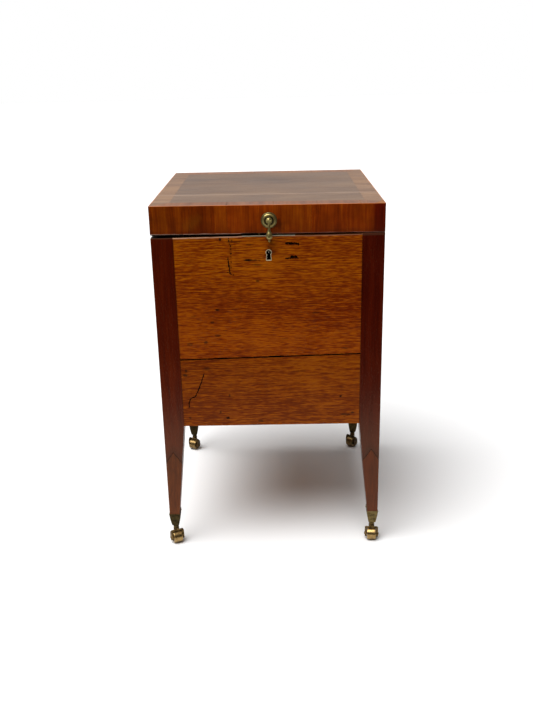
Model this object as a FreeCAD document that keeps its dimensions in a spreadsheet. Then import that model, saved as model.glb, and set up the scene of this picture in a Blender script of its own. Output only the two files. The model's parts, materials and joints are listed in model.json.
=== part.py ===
import FreeCAD, Part
import math
import os
import Sketcher
from FreeCAD import Vector, Placement, Rotation

# Cellarette: a lidded bottle cabinet on four square tapered legs with brass casters.
# Frame: origin on the floor under the middle of the carcass, +X to the right of the
# front, +Y to the back, +Z up. All lengths are millimetres.

doc = FreeCAD.newDocument("cellarette")
sheet = doc.addObject("Spreadsheet::Sheet", "dims")

TABLE = [
    # carcass
    ("width", 450), ("depth", 480), ("height", 738),
    ("leg", 43), ("foot", 22), ("taper_z", 281.5), ("cup_rim_z", 73), ("tenon_z", 49.5),
    ("panel_t", 16), ("recess", 0.3), ("tongue", 8), ("tongue_t", 6),
    # the carcass top falls towards the front and most at the left, so the lid gapes there
    ("top_left", 677.4), ("top_right", 680.6), ("top_back", 682.6),
    # shrunk joint between the two front boards
    ("joint_left", 428.6), ("joint_right", 435.7), ("joint_gap", 2), ("lap", 6),
    # V splice of the front legs
    ("splice_apex_z", 221.5), ("splice_edge_z", 196.5), ("splice_apex_u", 16.8),
    # floor of the cabinet and the bottle divider
    ("bearer", 12), ("floor_z", 304), ("floor_t", 10),
    ("slat_t", 5), ("slat_h", 190), ("cleat_w", 16), ("cleat_t", 8),
    # lid
    ("lid_z", 683), ("veneer", 1), ("rail_t", 16), ("top_board_t", 18), ("band", 36),
    ("board_joint_y", -112),
    # hinges
    ("hinge_x", 140), ("hinge_len", 64), ("hinge_mid", 24), ("barrel", 3.6), ("pin", 1.5),
    ("hinge_y", 244), ("hinge_z", 682.8), ("leaf_t", 1.4),
    # lock
    ("lock_x", 2), ("case_w", 78), ("case_bottom", 632), ("selvage_w", 102),
    ("selvage_z", 678.9), ("selvage_t", 1.7), ("selvage_d", 12), ("lug_x", 18),
    ("lug_t", 2.4), ("lug_w", 8), ("lug_z", 670), ("key_x", 1.7), ("key_z", 646.1),
    ("run", 0.05),
    # pull
    ("pull_x", 3.4), ("pull_z", 708.4), ("boss", 15), ("stud", 2.5), ("pivot_out", 9.4),
    # casters
    ("wheel", 13.5), ("tread", 19), ("trail", 3), ("axle", 2), ("arm_t", 4.4),
    ("cheek", 10), ("swivel", 2.6), ("neck_z", 38.6),
    ("turn_fl", 22), ("turn_fr", -6), ("turn_bl", -28), ("turn_br", -42),
]
VALUE = {}
for i, (alias, number) in enumerate(TABLE, start=1):
    sheet.set("A%d" % i, alias)
    sheet.set("B%d" % i, str(number))
    sheet.setAlias("B%d" % i, alias)
    VALUE[alias] = float(number)
doc.recompute()


class Len(object):
    """A length that keeps its number and the sheet expression that gives it."""

    def __init__(self, number, text):
        self.n, self.t = float(number), text

    def _pair(self, other, sign, swap=False):
        o = other if isinstance(other, Len) else Len(other, repr(float(other)))
        a, b = (o, self) if swap else (self, o)
        n = {"+": a.n + b.n, "-": a.n - b.n, "*": a.n * b.n,
             "/": a.n / b.n if b.n else 0.0}[sign]
        return Len(n, "(%s %s %s)" % (a.t, sign, b.t))

    def __add__(self, o): return self._pair(o, "+")
    def __radd__(self, o): return self._pair(o, "+", True)
    def __sub__(self, o): return self._pair(o, "-")
    def __rsub__(self, o): return self._pair(o, "-", True)
    def __mul__(self, o): return self._pair(o, "*")
    def __rmul__(self, o): return self._pair(o, "*", True)
    def __truediv__(self, o): return self._pair(o, "/")
    def __neg__(self): return self._pair(-1, "*")


def dim(alias):
    return Len(VALUE[alias], "dims." + alias)


def as_len(v):
    return v if isinstance(v, Len) else Len(v, repr(float(v)))


def bind(obj, prop, v):
    obj.setExpression(prop, as_len(v).t)


NODES = []


def node(obj, label):
    obj.Label = label
    NODES.append(obj)
    return obj


count = [0]


def fresh(kind):
    count[0] += 1
    return "%s_%03d" % (kind, count[0])


def place(obj, x=0, y=0, z=0, rot=None):
    if rot is not None:
        obj.Placement = Placement(Vector(0, 0, 0), rot)
    bind(obj, "Placement.Base.x", x)
    bind(obj, "Placement.Base.y", y)
    bind(obj, "Placement.Base.z", z)
    return obj


def box(x, y, z):
    """A box from its low and high coordinate along each axis."""
    o = doc.addObject("Part::Box", fresh("box"))
    bind(o, "Length", as_len(x[1]) - x[0])
    bind(o, "Width", as_len(y[1]) - y[0])
    bind(o, "Height", as_len(z[1]) - z[0])
    return place(o, x[0], y[0], z[0])


TURN = {"+Z": Rotation(), "-Z": Rotation(Vector(1, 0, 0), 180),
        "+X": Rotation(Vector(0, 1, 0), 90), "-X": Rotation(Vector(0, 1, 0), -90),
        "+Y": Rotation(Vector(1, 0, 0), -90), "-Y": Rotation(Vector(1, 0, 0), 90)}


def rod(at, r, length, axis="+Z"):
    o = doc.addObject("Part::Cylinder", fresh("rod"))
    bind(o, "Radius", r)
    bind(o, "Height", length)
    return place(o, at[0], at[1], at[2], TURN[axis])


def cone(at, r1, r2, length, axis="+Z"):
    o = doc.addObject("Part::Cone", fresh("cone"))
    bind(o, "Radius1", r1)
    bind(o, "Radius2", r2)
    bind(o, "Height", length)
    return place(o, at[0], at[1], at[2], TURN[axis])


def group(items):
    o = doc.addObject("Part::Compound", fresh("group"))
    o.Links = items
    return o


def fuse(items):
    o = doc.addObject("Part::MultiFuse", fresh("fuse"))
    o.Shapes = items
    return o


def cut(base, *tools):
    tool = tools[0] if len(tools) == 1 else fuse(list(tools))
    o = doc.addObject("Part::Cut", fresh("cut"))
    o.Base, o.Tool = base, tool
    return o


def common(a, b):
    o = doc.addObject("Part::Common", fresh("common"))
    o.Base, o.Tool = a, b
    return o


def profile(body, role, points, arcs):
    """A closed sketch through points; arcs maps a side's index to a point on its arc."""
    sk = body.newObject("Sketcher::SketchObject", fresh("sketch"))
    plane = [f for f in body.Origin.OriginFeatures if f.Role == role][0]
    sk.AttachmentSupport = [(plane, "")]
    sk.MapMode = "FlatFace"
    pts = [(as_len(a), as_len(b)) for a, b in points]
    n = len(pts)
    geo, ends = [], []
    for i in range(n):
        p, q = pts[i], pts[(i + 1) % n]
        pv, qv = Vector(p[0].n, p[1].n, 0), Vector(q[0].n, q[1].n, 0)
        if i in arcs:
            m = arcs[i]
            mv = Vector(as_len(m[0]).n, as_len(m[1]).n, 0)
            ring = Part.Circle(pv, mv, qv)
            c, r = ring.Center, ring.Radius
            a0, am, a1 = [math.atan2(v.y - c.y, v.x - c.x) for v in (pv, mv, qv)]
            turn = 2 * math.pi
            forward = (am - a0) % turn < (a1 - a0) % turn
            lo, hi = (a0, a1) if forward else (a1, a0)
            g = Part.ArcOfCircle(Part.Circle(c, Vector(0, 0, 1), r), lo, lo + (hi - lo) % turn)
            ends.append((1, 2) if forward else (2, 1))
        else:
            g = Part.LineSegment(pv, qv)
            ends.append((1, 2))
        geo.append(g)
    sk.addGeometry(geo)
    cons = [Sketcher.Constraint("Coincident", i, ends[i][1], (i + 1) % n, ends[(i + 1) % n][0])
            for i in range(n)]
    first = len(cons)
    for i in range(n):
        cons.append(Sketcher.Constraint("DistanceX", -1, 1, i, ends[i][0], pts[i][0].n))
        cons.append(Sketcher.Constraint("DistanceY", -1, 1, i, ends[i][0], pts[i][1].n))
    for i in sorted(arcs):
        cons.append(Sketcher.Constraint("Radius", i, geo[i].Radius))
    sk.addConstraint(cons)
    for i in range(n):
        for j in (0, 1):
            if "dims." in pts[i][j].t:
                sk.setExpression("Constraints[%d]" % (first + 2 * i + j), pts[i][j].t)
    return sk


def prism(plane, points, start, length, arcs=None):
    """A padded profile. XZ profiles run towards +Y, YZ towards +X, XY towards +Z."""
    body = doc.addObject("PartDesign::Body", fresh("prism"))
    sk = profile(body, plane + "_Plane", points, arcs or {})
    pad = body.newObject("PartDesign::Pad", fresh("pad"))
    pad.Profile = sk
    bind(pad, "Length", length)
    pad.Reversed = plane == "XZ"
    body.Tip = pad
    at = {"XZ": (0, start, 0), "YZ": (start, 0, 0), "XY": (0, 0, start)}[plane]
    return place(body, *at)


def turned(points, at=(0, 0, 0), rot=None, arcs=None):
    """A turned piece: the profile (radius, height) revolved about the body's Z axis."""
    body = doc.addObject("PartDesign::Body", fresh("turned"))
    sk = profile(body, "XZ_Plane", points, arcs or {})
    rev = body.newObject("PartDesign::Revolution", fresh("revolution"))
    rev.Profile = sk
    rev.ReferenceAxis = (sk, ["V_Axis"])
    rev.Angle = 360
    body.Tip = rev
    return place(body, at[0], at[1], at[2], rot)


def screw(at, axis, length, shank, head, head_h):
    """A slotted countersunk screw whose head face is at the given point, driven along axis.
    Returns the screw and the slightly larger tool that bores and countersinks its hole."""
    step = {"X": 0, "Y": 1, "Z": 2}[axis[1]]
    sign = 1 if axis[0] == "+" else -1

    def along(d):
        p = list(at)
        p[step] = as_len(p[step]) + sign * d
        return p
    shaft = rod(along(head_h - 0.02), shank, length - head_h, axis)
    top = cone(along(0), head, shank, head_h, axis)
    whole = fuse([shaft, top])
    lo = [as_len(at[k]) - head * 1.2 for k in range(3)]
    hi = [as_len(at[k]) + head * 1.2 for k in range(3)]
    slot_side = 0 if step != 0 else 1
    lo[slot_side], hi[slot_side] = as_len(at[slot_side]) - 0.3, as_len(at[slot_side]) + 0.3
    deep = head_h * 0.45
    if sign > 0:
        lo[step], hi[step] = as_len(at[step]) - 1, as_len(at[step]) + deep
    else:
        lo[step], hi[step] = as_len(at[step]) - deep, as_len(at[step]) + 1
    body = cut(whole, box((lo[0], hi[0]), (lo[1], hi[1]), (lo[2], hi[2])))
    tool = fuse([rod(along(0), shank + 0.05, length + 0.1, axis),
                 cone(along(-0.02), head + 0.07, shank + 0.07, head_h + 0.04, axis)])
    return body, tool


W, D, H = dim("width"), dim("depth"), dim("height")
LEG, FOOT = dim("leg"), dim("foot")
TZ, RIM, TEN = dim("taper_z"), dim("cup_rim_z"), dim("tenon_z")
PT, REC = dim("panel_t"), dim("recess")
TG, TT = dim("tongue"), dim("tongue_t")
FRONT, BACK = -D / 2, D / 2
RUN = dim("run")
face_out = REC                      # how far panels stand behind the legs' outer faces
face_in = REC + PT                  # their inner faces, from the same datum
wall_x = W / 2 - face_in            # half the inner width
wall_y = D / 2 - face_in            # half the inner depth
post_x = W / 2 - LEG                # inner faces of the corner posts
post_y = D / 2 - LEG

# ------------------------------------------------------------------ hinges' and lock's datum
HX, HL, HM = dim("hinge_x"), dim("hinge_len"), dim("hinge_mid")
BR, PIN = dim("barrel"), dim("pin")
HY, HZ, LT = dim("hinge_y"), dim("hinge_z"), dim("leaf_t")
LX = dim("lock_x")
LID = dim("lid_z")
VEN = dim("veneer")

# ------------------------------------------------------------------ legs
# Each leg is one square stile that tapers on its two inner faces below the carcass and
# ends in a tenon inside the brass cup.
TOPS = {"fl": (dim("top_left"), dim("top_left") + (dim("top_back") - dim("top_left")) * LEG / D),
        "fr": (dim("top_right"), dim("top_right") + (dim("top_back") - dim("top_right")) * LEG / D),
        "bl": (dim("top_back"), dim("top_back")), "br": (dim("top_back"), dim("top_back"))}
SIDES = {"fl": (-1, -1), "fr": (1, -1), "bl": (-1, 1), "br": (1, 1)}
NAMES = {"fl": "front_left", "fr": "front_right", "bl": "back_left", "br": "back_right"}


def leg_profile(sign, half, outer_top, inner_top):
    c = FOOT / 2
    u = [(as_len(0), outer_top), (LEG, inner_top), (LEG, TZ), (FOOT, RIM),
         (c + 9.4, RIM - 11), (c + 6, TEN), (c - 6, TEN), (c - 9.4, RIM - 11),
         (as_len(0), RIM)]
    return [(sign * (half - a), b) for a, b in u]


legs = {}
for key in ("fl", "fr", "bl", "br"):
    sx, sy = SIDES[key]
    outer, inner = TOPS[key]
    across = prism("XZ", leg_profile(sx, W / 2, as_len(700), as_len(700)),
                   FRONT if sy < 0 else BACK - LEG, LEG)
    along = prism("YZ", leg_profile(sy, D / 2, outer, inner),
                  -W / 2 if sx < 0 else W / 2 - LEG, LEG)
    legs[key] = common(across, along)

# grooves that take the tongues of the panels
groove_z = (TZ + 8, as_len(660))
front_groove_y = (FRONT + 4, FRONT + 4 + TT)
back_groove_y = (BACK - 4 - TT, BACK - 4)


def groove_set(key):
    sx, sy = SIDES[key]
    gy = front_groove_y if sy < 0 else back_groove_y
    gx = (-W / 2 + 4, -W / 2 + 4 + TT) if sx < 0 else (W / 2 - 4 - TT, W / 2 - 4)
    ex = (-post_x - TG, -post_x + 1) if sx < 0 else (post_x - 1, post_x + TG)
    ey = (-post_y - TG, -post_y + 1) if sy < 0 else (post_y - 1, post_y + TG)
    return [box(ex, gy, groove_z), box(gx, ey, groove_z)]


# lighter wood let into the front legs: an arrow-shaped splice right through each leg
def splice_region(sx):
    apex, edge, au = dim("splice_apex_z"), dim("splice_edge_z"), dim("splice_apex_u")
    slope = (apex - edge) / au
    pts = [(as_len(-2), as_len(30)), (as_len(41), as_len(30)),
           (as_len(41), apex - slope * (41 - au)), (au, apex), (as_len(-2), edge - slope * 2)]
    return prism("XZ", [(sx * (W / 2 - a), b) for a, b in pts], FRONT - 2, LEG + 4)


pin_tools = {"fl": [], "fr": [], "bl": [], "br": []}
cup_pins = []
for key in ("fl", "fr", "bl", "br"):
    # a small brass pin through each cup's raised tab into the leg
    sx, sy = SIDES[key]
    px = sx * (W / 2 - FOOT - 2.25)
    axis = "+X" if sx > 0 else "-X"
    py = sy * (D / 2 - FOOT / 2)
    pin_body = fuse([rod((px, py, RIM + 5.5), 0.8, 8, axis),
                     cone((px - sx * 0.9, py, RIM + 5.5), 0.9, 1.6, 0.95, axis)])
    cup_pins.append(pin_body)
    pin_tools[key].append(rod((px - sx * 1, py, RIM + 5.5), 0.85, 9.3, axis))

for key in ("fl", "fr", "bl", "br"):
    sx, sy = SIDES[key]
    grooved = cut(legs[key], *(groove_set(key) + pin_tools[key]))
    if sy < 0:
        region = splice_region(sx)
        node(cut(grooved, region), "leg_" + NAMES[key])
        node(common(grooved, region), "leg_tip_" + NAMES[key])
    else:
        node(grooved, "leg_" + NAMES[key])
node(group(cup_pins), "cup_pins")

# ------------------------------------------------------------------ front boards
# They are lapped: shrinkage has opened the joint by joint_gap, at the front and inside.
JL, JR, JG, LAP = dim("joint_left"), dim("joint_right"), dim("joint_gap"), dim("lap")
TL, TR, TB = dim("top_left"), dim("top_right"), dim("top_back")
front_slope = (TR - TL) / W
board_top_l = TL + front_slope * LEG
board_top_r = TR - front_slope * LEG
fy0 = FRONT + REC
half_t = PT / 2

upper = prism("XZ", [(-post_x, JL + JG / 2), (post_x, JR + JG / 2),
                     (post_x, board_top_r), (-post_x, board_top_l)], fy0, PT)
joint_rise = (JR - JL) / (post_x * 2) * 3      # what the joint climbs in 3 mm
upper_rebate = prism("XZ", [(-post_x - 3, JL - 5), (post_x + 3, JR - 5),
                            (post_x + 3, JR + JG / 2 + LAP + joint_rise),
                            (-post_x - 3, JL + JG / 2 + LAP - joint_rise)],
                     fy0 + half_t, PT)
upper_tongues = [box((-post_x - TG, -post_x), front_groove_y, (JR + 10, groove_z[1])),
                 box((post_x, post_x + TG), front_groove_y, (JR + 10, groove_z[1]))]
lower = prism("XZ", [(-post_x, TZ), (post_x, TZ),
                     (post_x, JR - JG / 2 + LAP), (-post_x, JL - JG / 2 + LAP)], fy0, PT)
lower_rebate = prism("XZ", [(-post_x - 3, JL - JG / 2 - joint_rise),
                            (post_x + 3, JR - JG / 2 + joint_rise),
                            (post_x + 3, JR + 30), (-post_x - 3, JL + 30)],
                     fy0 - 1, half_t + 1)
lower_tongues = [box((-post_x - TG, -post_x), front_groove_y, (groove_z[0], JL - 8)),
                 box((post_x, post_x + TG), front_groove_y, (groove_z[0], JL - 8))]

# ------------------------------------------------------------------ lock
KX, KZ = dim("key_x"), dim("key_z")
CW, CB = dim("case_w"), dim("case_bottom")
SZ, ST, SD, SW = dim("selvage_z"), dim("selvage_t"), dim("selvage_d"), dim("selvage_w")
UX, UT, UW, UZ = dim("lug_x"), dim("lug_t"), dim("lug_w"), dim("lug_z")
case_x = (LX - CW / 2, LX + CW / 2)
case_front = FRONT + 3.6            # the case stands this far behind the leg's front plane
board_back = FRONT + face_in
cap_t = 1.6
case_top = SZ - ST
plate_x = (LX - CW / 2 - 6, LX + CW / 2 + 6)
plate_z = (CB - 3, case_top)
selvage_x = (LX - SW / 2, LX + SW / 2)
selvage_y = (FRONT + 0.35, FRONT + 2.5 + SD)
lug_y = FRONT + 2.5 + SD / 2
lugs = (LX - UX, LX + UX)

# keyhole outline: round head, slight waist and a flared, round-cornered foot
def keyhole(grow):
    g = grow
    pts = [(KX - 3.3 - g, KZ - 3.9), (KX + 3.3 + g, KZ - 3.9),
           (KX + 4.2 + g, KZ - 13.7 - g * 0.4), (KX + 2.9 + g, KZ - 15.0 - g),
           (KX - 2.9 - g, KZ - 15.0 - g), (KX - 4.2 - g, KZ - 13.7 - g * 0.4)]
    arcs = {0: (KX, KZ + 4.6 + g), 2: (KX + 3.85 + g, KZ - 14.6 - g * 0.8),
            4: (KX - 3.85 - g, KZ - 14.6 - g * 0.8)}
    return pts, arcs


pts, arcs = keyhole(1.3)
outer_ring = prism("XZ", pts, FRONT, 2.9, arcs)
pts, arcs = keyhole(0)
inner_ring = prism("XZ", pts, FRONT - 1, 6, arcs)
node(cut(outer_ring, inner_ring), "keyhole_escutcheon")

lock_screws, lock_holes = [], []
for cx in (plate_x[0] + 3, plate_x[1] - 3):
    for cz in (CB + 1.5, case_top - 4):
        b, t = screw([cx, board_back, cz], "-Y", 11, 1.3, 2.5, 1.5)
        lock_screws.append(b)
        lock_holes.append(t)
node(group(lock_screws), "lock_screws")

pts, arcs = keyhole(1.35)
escutcheon_hole = prism("XZ", pts, FRONT - 1, 8, arcs)
mortise = box((case_x[0] - 0.2, case_x[1] + 0.2), (case_front - 0.4, board_back + 1),
              (CB - 0.2, as_len(690)))
plate_recess = box((plate_x[0] - 0.2, plate_x[1] + 0.2), (board_back - cap_t, board_back + 1),
                   (plate_z[0] - 0.2, as_len(690)))
selvage_recess = box((selvage_x[0] - 0.1, selvage_x[1] + 0.1), (FRONT - 1, selvage_y[1]),
                     (case_top, as_len(690)))
upper_solid = fuse([cut(upper, upper_rebate)] + upper_tongues)
node(cut(upper_solid, mortise, plate_recess, selvage_recess, escutcheon_hole, *lock_holes),
     "front_upper_board")
node(fuse([cut(lower, lower_rebate)] + lower_tongues), "front_lower_board")

# selvage plate: the strip in the top edge, flush with the front, slotted for the two loops of the link plate
slot_x, slot_y = 2.2, 4.6
selvage_slots = [box((u - slot_x, u + slot_x), (lug_y - slot_y, lug_y + slot_y),
                     (case_top - 5, SZ + 2)) for u in lugs]
node(cut(box(selvage_x, selvage_y, (case_top, SZ)), *selvage_slots), "lock_selvage")

# case: front plate, rim and the two guides that the bolt runs between
case_y = (case_front, board_back - cap_t)
shell = cut(box(case_x, case_y, (CB, case_top)),
            box((case_x[0] + 1.2, case_x[1] - 1.2), (case_y[0] + 1.2, case_y[1] + 1),
                (CB + 1.2, case_top - 1.2)))
guide_y = (case_y[0] + 1, lug_y + 4)
guides = [box((case_x[0] + 1, case_x[0] + 14), guide_y, (as_len(658.6), as_len(660.9))),
          box((LX + 8, case_x[1] - 1), guide_y, (as_len(658.6), as_len(660.9))),
          box((LX - 10, LX + 4), guide_y, (as_len(667.1), as_len(669)))]
slots2 = [box((u - slot_x, u + slot_x), (lug_y - slot_y, lug_y + slot_y),
              (case_top - 5, SZ + 2)) for u in lugs]
pts, arcs = keyhole(0)
case_key = prism("XZ", pts, FRONT + 2, 4, arcs)
node(cut(fuse([shell] + guides), case_key, *slots2), "lock_case")

# cap plate on the inside of the board, with the pin that the key's barrel turns on
cap_holes = []
for cx in (plate_x[0] + 3, plate_x[1] - 3):
    for cz in (CB + 1.5, case_top - 4):
        cap_holes.append(fuse([rod((cx, board_back + 0.5, cz), 1.35, 4, "-Y"),
                               cone((cx, board_back + 0.02, cz), 2.57, 1.37, 1.54, "-Y")]))
node(cut(box(plate_x, (board_back - cap_t, board_back), plate_z), *cap_holes), "lock_cap")
node(turned([(0, 0), (1.5, 0), (1.5, 11.4), (0.9, 12.6), (0, 12.6)],
            (KX, board_back - cap_t, KZ), TURN["-Y"]), "lock_drill_pin")

# bolt: a bar with two posts whose noses pass through the loops
bolt_y = (lug_y - 2, lug_y + 2)
nose0 = UT / 2 + 0.5
bolt_parts = [box((LX - 35, LX + 12), bolt_y, (as_len(661), as_len(667)))]
for u in lugs:
    bolt_parts.append(box((u - nose0 - 10, u - nose0 - 7), bolt_y, (as_len(666), as_len(675.4))))
    bolt_parts.append(box((u - nose0 - 8, u - nose0), (lug_y - 1.8, lug_y + 1.8),
                          (as_len(672.2), as_len(675.4))))
talon = box((LX - 4.5, LX + 3.5), (lug_y - 3, lug_y + 3), (as_len(660), as_len(663.2)))
node(cut(fuse(bolt_parts), talon), "lock_bolt")

# ------------------------------------------------------------------ side and back panels
def side_panel(sx):
    t_front = TL if sx < 0 else TR
    slope = (TB - t_front) / D
    z_f, z_b = t_front + slope * LEG, TB - slope * LEG
    x0 = -W / 2 + REC if sx < 0 else W / 2 - face_in
    gx = (-W / 2 + 4, -W / 2 + 4 + TT) if sx < 0 else (W / 2 - 4 - TT, W / 2 - 4)
    sheet_ = prism("YZ", [(-post_y, TZ), (post_y, TZ), (post_y, z_b), (-post_y, z_f)], x0, PT)
    return fuse([sheet_, box(gx, (-post_y - TG, -post_y), groove_z),
                 box(gx, (post_y, post_y + TG), groove_z)])


node(side_panel(-1), "side_panel_left")
node(side_panel(1), "side_panel_right")

hinge_screw_c, hinge_screw_l, holes_c, holes_l = [], [], [], []
for s in (-1, 1):
    for du in (-22, 0, 22):
        sy_ = BACK - 8.5 if du else BACK - 5.5
        b, t = screw([s * HX + du, sy_, HZ - 0.2], "-Z", 12, 1.2, 2.4, 1.3)
        hinge_screw_c.append(b)
        holes_c.append(t)
        b, t = screw([s * HX + du, sy_, HZ + 0.2], "+Z", 12, 1.2, 2.4, 1.3)
        hinge_screw_l.append(b)
        holes_l.append(t)

back = fuse([prism("XZ", [(-post_x, TZ), (post_x, TZ), (post_x, TB), (-post_x, TB)],
                   BACK - face_in, PT),
             box((-post_x - TG, -post_x), back_groove_y, groove_z),
             box((post_x, post_x + TG), back_groove_y, groove_z)])
leaf_y0 = BACK - 15
leaf_recess_c = [box((s * HX - HL / 2 - 0.1, s * HX + HL / 2 + 0.1), (leaf_y0 - 0.1, BACK + 2),
                     (HZ - 0.2 - LT, HZ + 3)) for s in (-1, 1)]
node(cut(back, *(leaf_recess_c + holes_c)), "back_panel")

# ------------------------------------------------------------------ floor and divider
FZ, FT, BE = dim("floor_z"), dim("floor_t"), dim("bearer")
floor_block = box((-wall_x, wall_x), (-wall_y, wall_y), (FZ - FT, FZ))
corner_cuts = [box((sx * post_x - (50 if sx < 0 else 0), sx * post_x + (50 if sx > 0 else 0)),
                   (sy * post_y - (50 if sy < 0 else 0), sy * post_y + (50 if sy > 0 else 0)),
                   (FZ - 50, FZ + 50)) for sx in (-1, 1) for sy in (-1, 1)]
node(cut(floor_block, *corner_cuts), "bottom_board")
bz = (FZ - FT - BE, FZ - FT)
node(group([box((-post_x, post_x), (-wall_y, -wall_y + BE), bz),
            box((-post_x, post_x), (wall_y - BE, wall_y), bz),
            box((-wall_x, -wall_x + BE), (-post_y, post_y), bz),
            box((wall_x - BE, wall_x), (-post_y, post_y), bz)]), "bottom_bearers")

SL, SH = dim("slat_t"), dim("slat_h")
CWD, CTH = dim("cleat_w"), dim("cleat_t")
cell_x = (wall_x * 2 - SL * 2) / 3
cell_y = (wall_y * 2 - SL * 2) / 3
mx = cell_x / 2 + SL / 2            # slat centre lines
my = cell_y / 2 + SL / 2
slat_z = (FZ, FZ + SH)
end_x = wall_x - CTH + 5            # slat ends stand 5 mm inside their grooved cleats
end_y = wall_y - CTH + 5
long_slats, cross_slats, cleats = [], [], []
for s in (-1, 1):
    plank = box((s * mx - SL / 2, s * mx + SL / 2), (-end_y, end_y), slat_z)
    notch = [box((s * mx - SL, s * mx + SL), (q * my - SL / 2 - 0.1, q * my + SL / 2 + 0.1),
                 (FZ + SH / 2, FZ + SH + 5)) for q in (-1, 1)]
    long_slats.append(cut(plank, *notch))
    plank = box((-end_x, end_x), (s * my - SL / 2, s * my + SL / 2), slat_z)
    notch = [box((q * mx - SL / 2 - 0.1, q * mx + SL / 2 + 0.1), (s * my - SL, s * my + SL),
                 (FZ - 5, FZ + SH / 2)) for q in (-1, 1)]
    cross_slats.append(cut(plank, *notch))
    for q in (-1, 1):
        y0, y1 = (wall_y - CTH, wall_y) if q > 0 else (-wall_y, -wall_y + CTH)
        block = box((s * mx - CWD / 2, s * mx + CWD / 2), (y0, y1), slat_z)
        g0, g1 = (wall_y - CTH - 1, end_y + 0.1) if q > 0 else (-end_y - 0.1, -wall_y + CTH + 1)
        cleats.append(cut(block, box((s * mx - SL / 2 - 0.1, s * mx + SL / 2 + 0.1), (g0, g1),
                                     (FZ - 1, FZ + SH + 1))))
        x0, x1 = (wall_x - CTH, wall_x) if q > 0 else (-wall_x, -wall_x + CTH)
        block = box((x0, x1), (s * my - CWD / 2, s * my + CWD / 2), slat_z)
        g0, g1 = (wall_x - CTH - 1, end_x + 0.1) if q > 0 else (-end_x - 0.1, -wall_x + CTH + 1)
        cleats.append(cut(block, box((g0, g1), (s * my - SL / 2 - 0.1, s * my + SL / 2 + 0.1),
                                     (FZ - 1, FZ + SH + 1))))
node(group(long_slats), "divider_slats_lengthwise")
node(group(cross_slats), "divider_slats_crosswise")
node(group(cleats), "divider_cleats")

# ------------------------------------------------------------------ lid
RT, TBT, BD = dim("rail_t"), dim("top_board_t"), dim("band")
lx = W / 2 - VEN                     # core half width under the side veneers
ly0 = FRONT + VEN                    # core front face under the front veneer
board_z = (H - VEN - TBT, H - VEN)
rail_z = (LID, board_z[0])
JY = dim("board_joint_y")

link_x = (LX - 30, LX + 30)
link_y = (lug_y - 5.5, lug_y + 5.5)
link_screws, link_holes = [], []
for du in (-26, 0, 26):
    b, t = screw([LX + du, lug_y, LID], "+Z", 12, 1.2, 2.4, 1.3)
    link_screws.append(b)
    link_holes.append(t)
plate = box(link_x, link_y, (LID, LID + 1.6))
loops = []
for u in lugs:
    loop = prism("YZ", [(lug_y - UW / 2, LID + 0.5), (lug_y - UW / 2, UZ + 2.5),
                        (lug_y - UW / 2 + 2.5, UZ), (lug_y + UW / 2 - 2.5, UZ),
                        (lug_y + UW / 2, UZ + 2.5), (lug_y + UW / 2, LID + 0.5)],
                 u - UT / 2, UT)
    eye = box((u - UT, u + UT), (lug_y - 2.2, lug_y + 2.2), (as_len(671.7), as_len(675.9)))
    loops.append(cut(loop, eye))
node(cut(fuse([plate] + loops), *link_holes), "lock_link_plate")

PX, PZ = dim("pull_x"), dim("pull_z")
STUD = dim("stud")
front_rail = box((-lx, lx), (ly0, ly0 + RT), rail_z)
link_holes2 = []
for du in (-26, 0, 26):
    link_holes2.append(fuse([rod((LX + du, lug_y, LID), 1.25, 12.1, "+Z"),
                             cone((LX + du, lug_y, LID - 0.02), 2.47, 1.27, 1.34, "+Z")]))
node(cut(front_rail, box((link_x[0] - 0.1, link_x[1] + 0.1), (link_y[0] - 0.1, link_y[1] + 0.1),
                         (LID - 2, LID + 1.6)),
         rod((PX, FRONT - 1, PZ), STUD + 0.05, 30, "+Y"), *link_holes2), "lid_front_rail")
leaf_recess_l = [box((s * HX - HL / 2 - 0.1, s * HX + HL / 2 + 0.1), (leaf_y0 - 0.1, BACK + 2),
                     (LID - 3, LID + LT)) for s in (-1, 1)]
node(cut(box((-lx, lx), (BACK - RT, BACK), rail_z), *(leaf_recess_l + holes_l)), "lid_back_rail")
node(box((-lx, -lx + RT), (ly0 + RT, BACK - RT), rail_z), "lid_side_rail_left")
node(box((lx - RT, lx), (ly0 + RT, BACK - RT), rail_z), "lid_side_rail_right")
node(box((-lx, lx), (ly0, JY), board_z), "lid_top_board_front")
node(box((-lx, lx), (JY, BACK), board_z), "lid_top_board_back")

# top: field veneer inside a mitred crossbanded border
tz = (H - VEN, H)
node(box((-W / 2 + BD, W / 2 - BD), (FRONT + BD, BACK - BD), tz), "lid_top_field_veneer")
bands = [
    prism("XY", [(-W / 2, FRONT), (W / 2, FRONT), (W / 2 - BD, FRONT + BD), (-W / 2 + BD, FRONT + BD)],
          tz[0], VEN),
    prism("XY", [(-W / 2 + BD, BACK - BD), (W / 2 - BD, BACK - BD), (W / 2, BACK), (-W / 2, BACK)],
          tz[0], VEN),
    prism("XY", [(-W / 2, FRONT), (-W / 2 + BD, FRONT + BD), (-W / 2 + BD, BACK - BD), (-W / 2, BACK)],
          tz[0], VEN),
    prism("XY", [(W / 2 - BD, FRONT + BD), (W / 2, FRONT), (W / 2, BACK), (W / 2 - BD, BACK - BD)],
          tz[0], VEN)]
node(group(bands), "lid_top_crossbanding")

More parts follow.
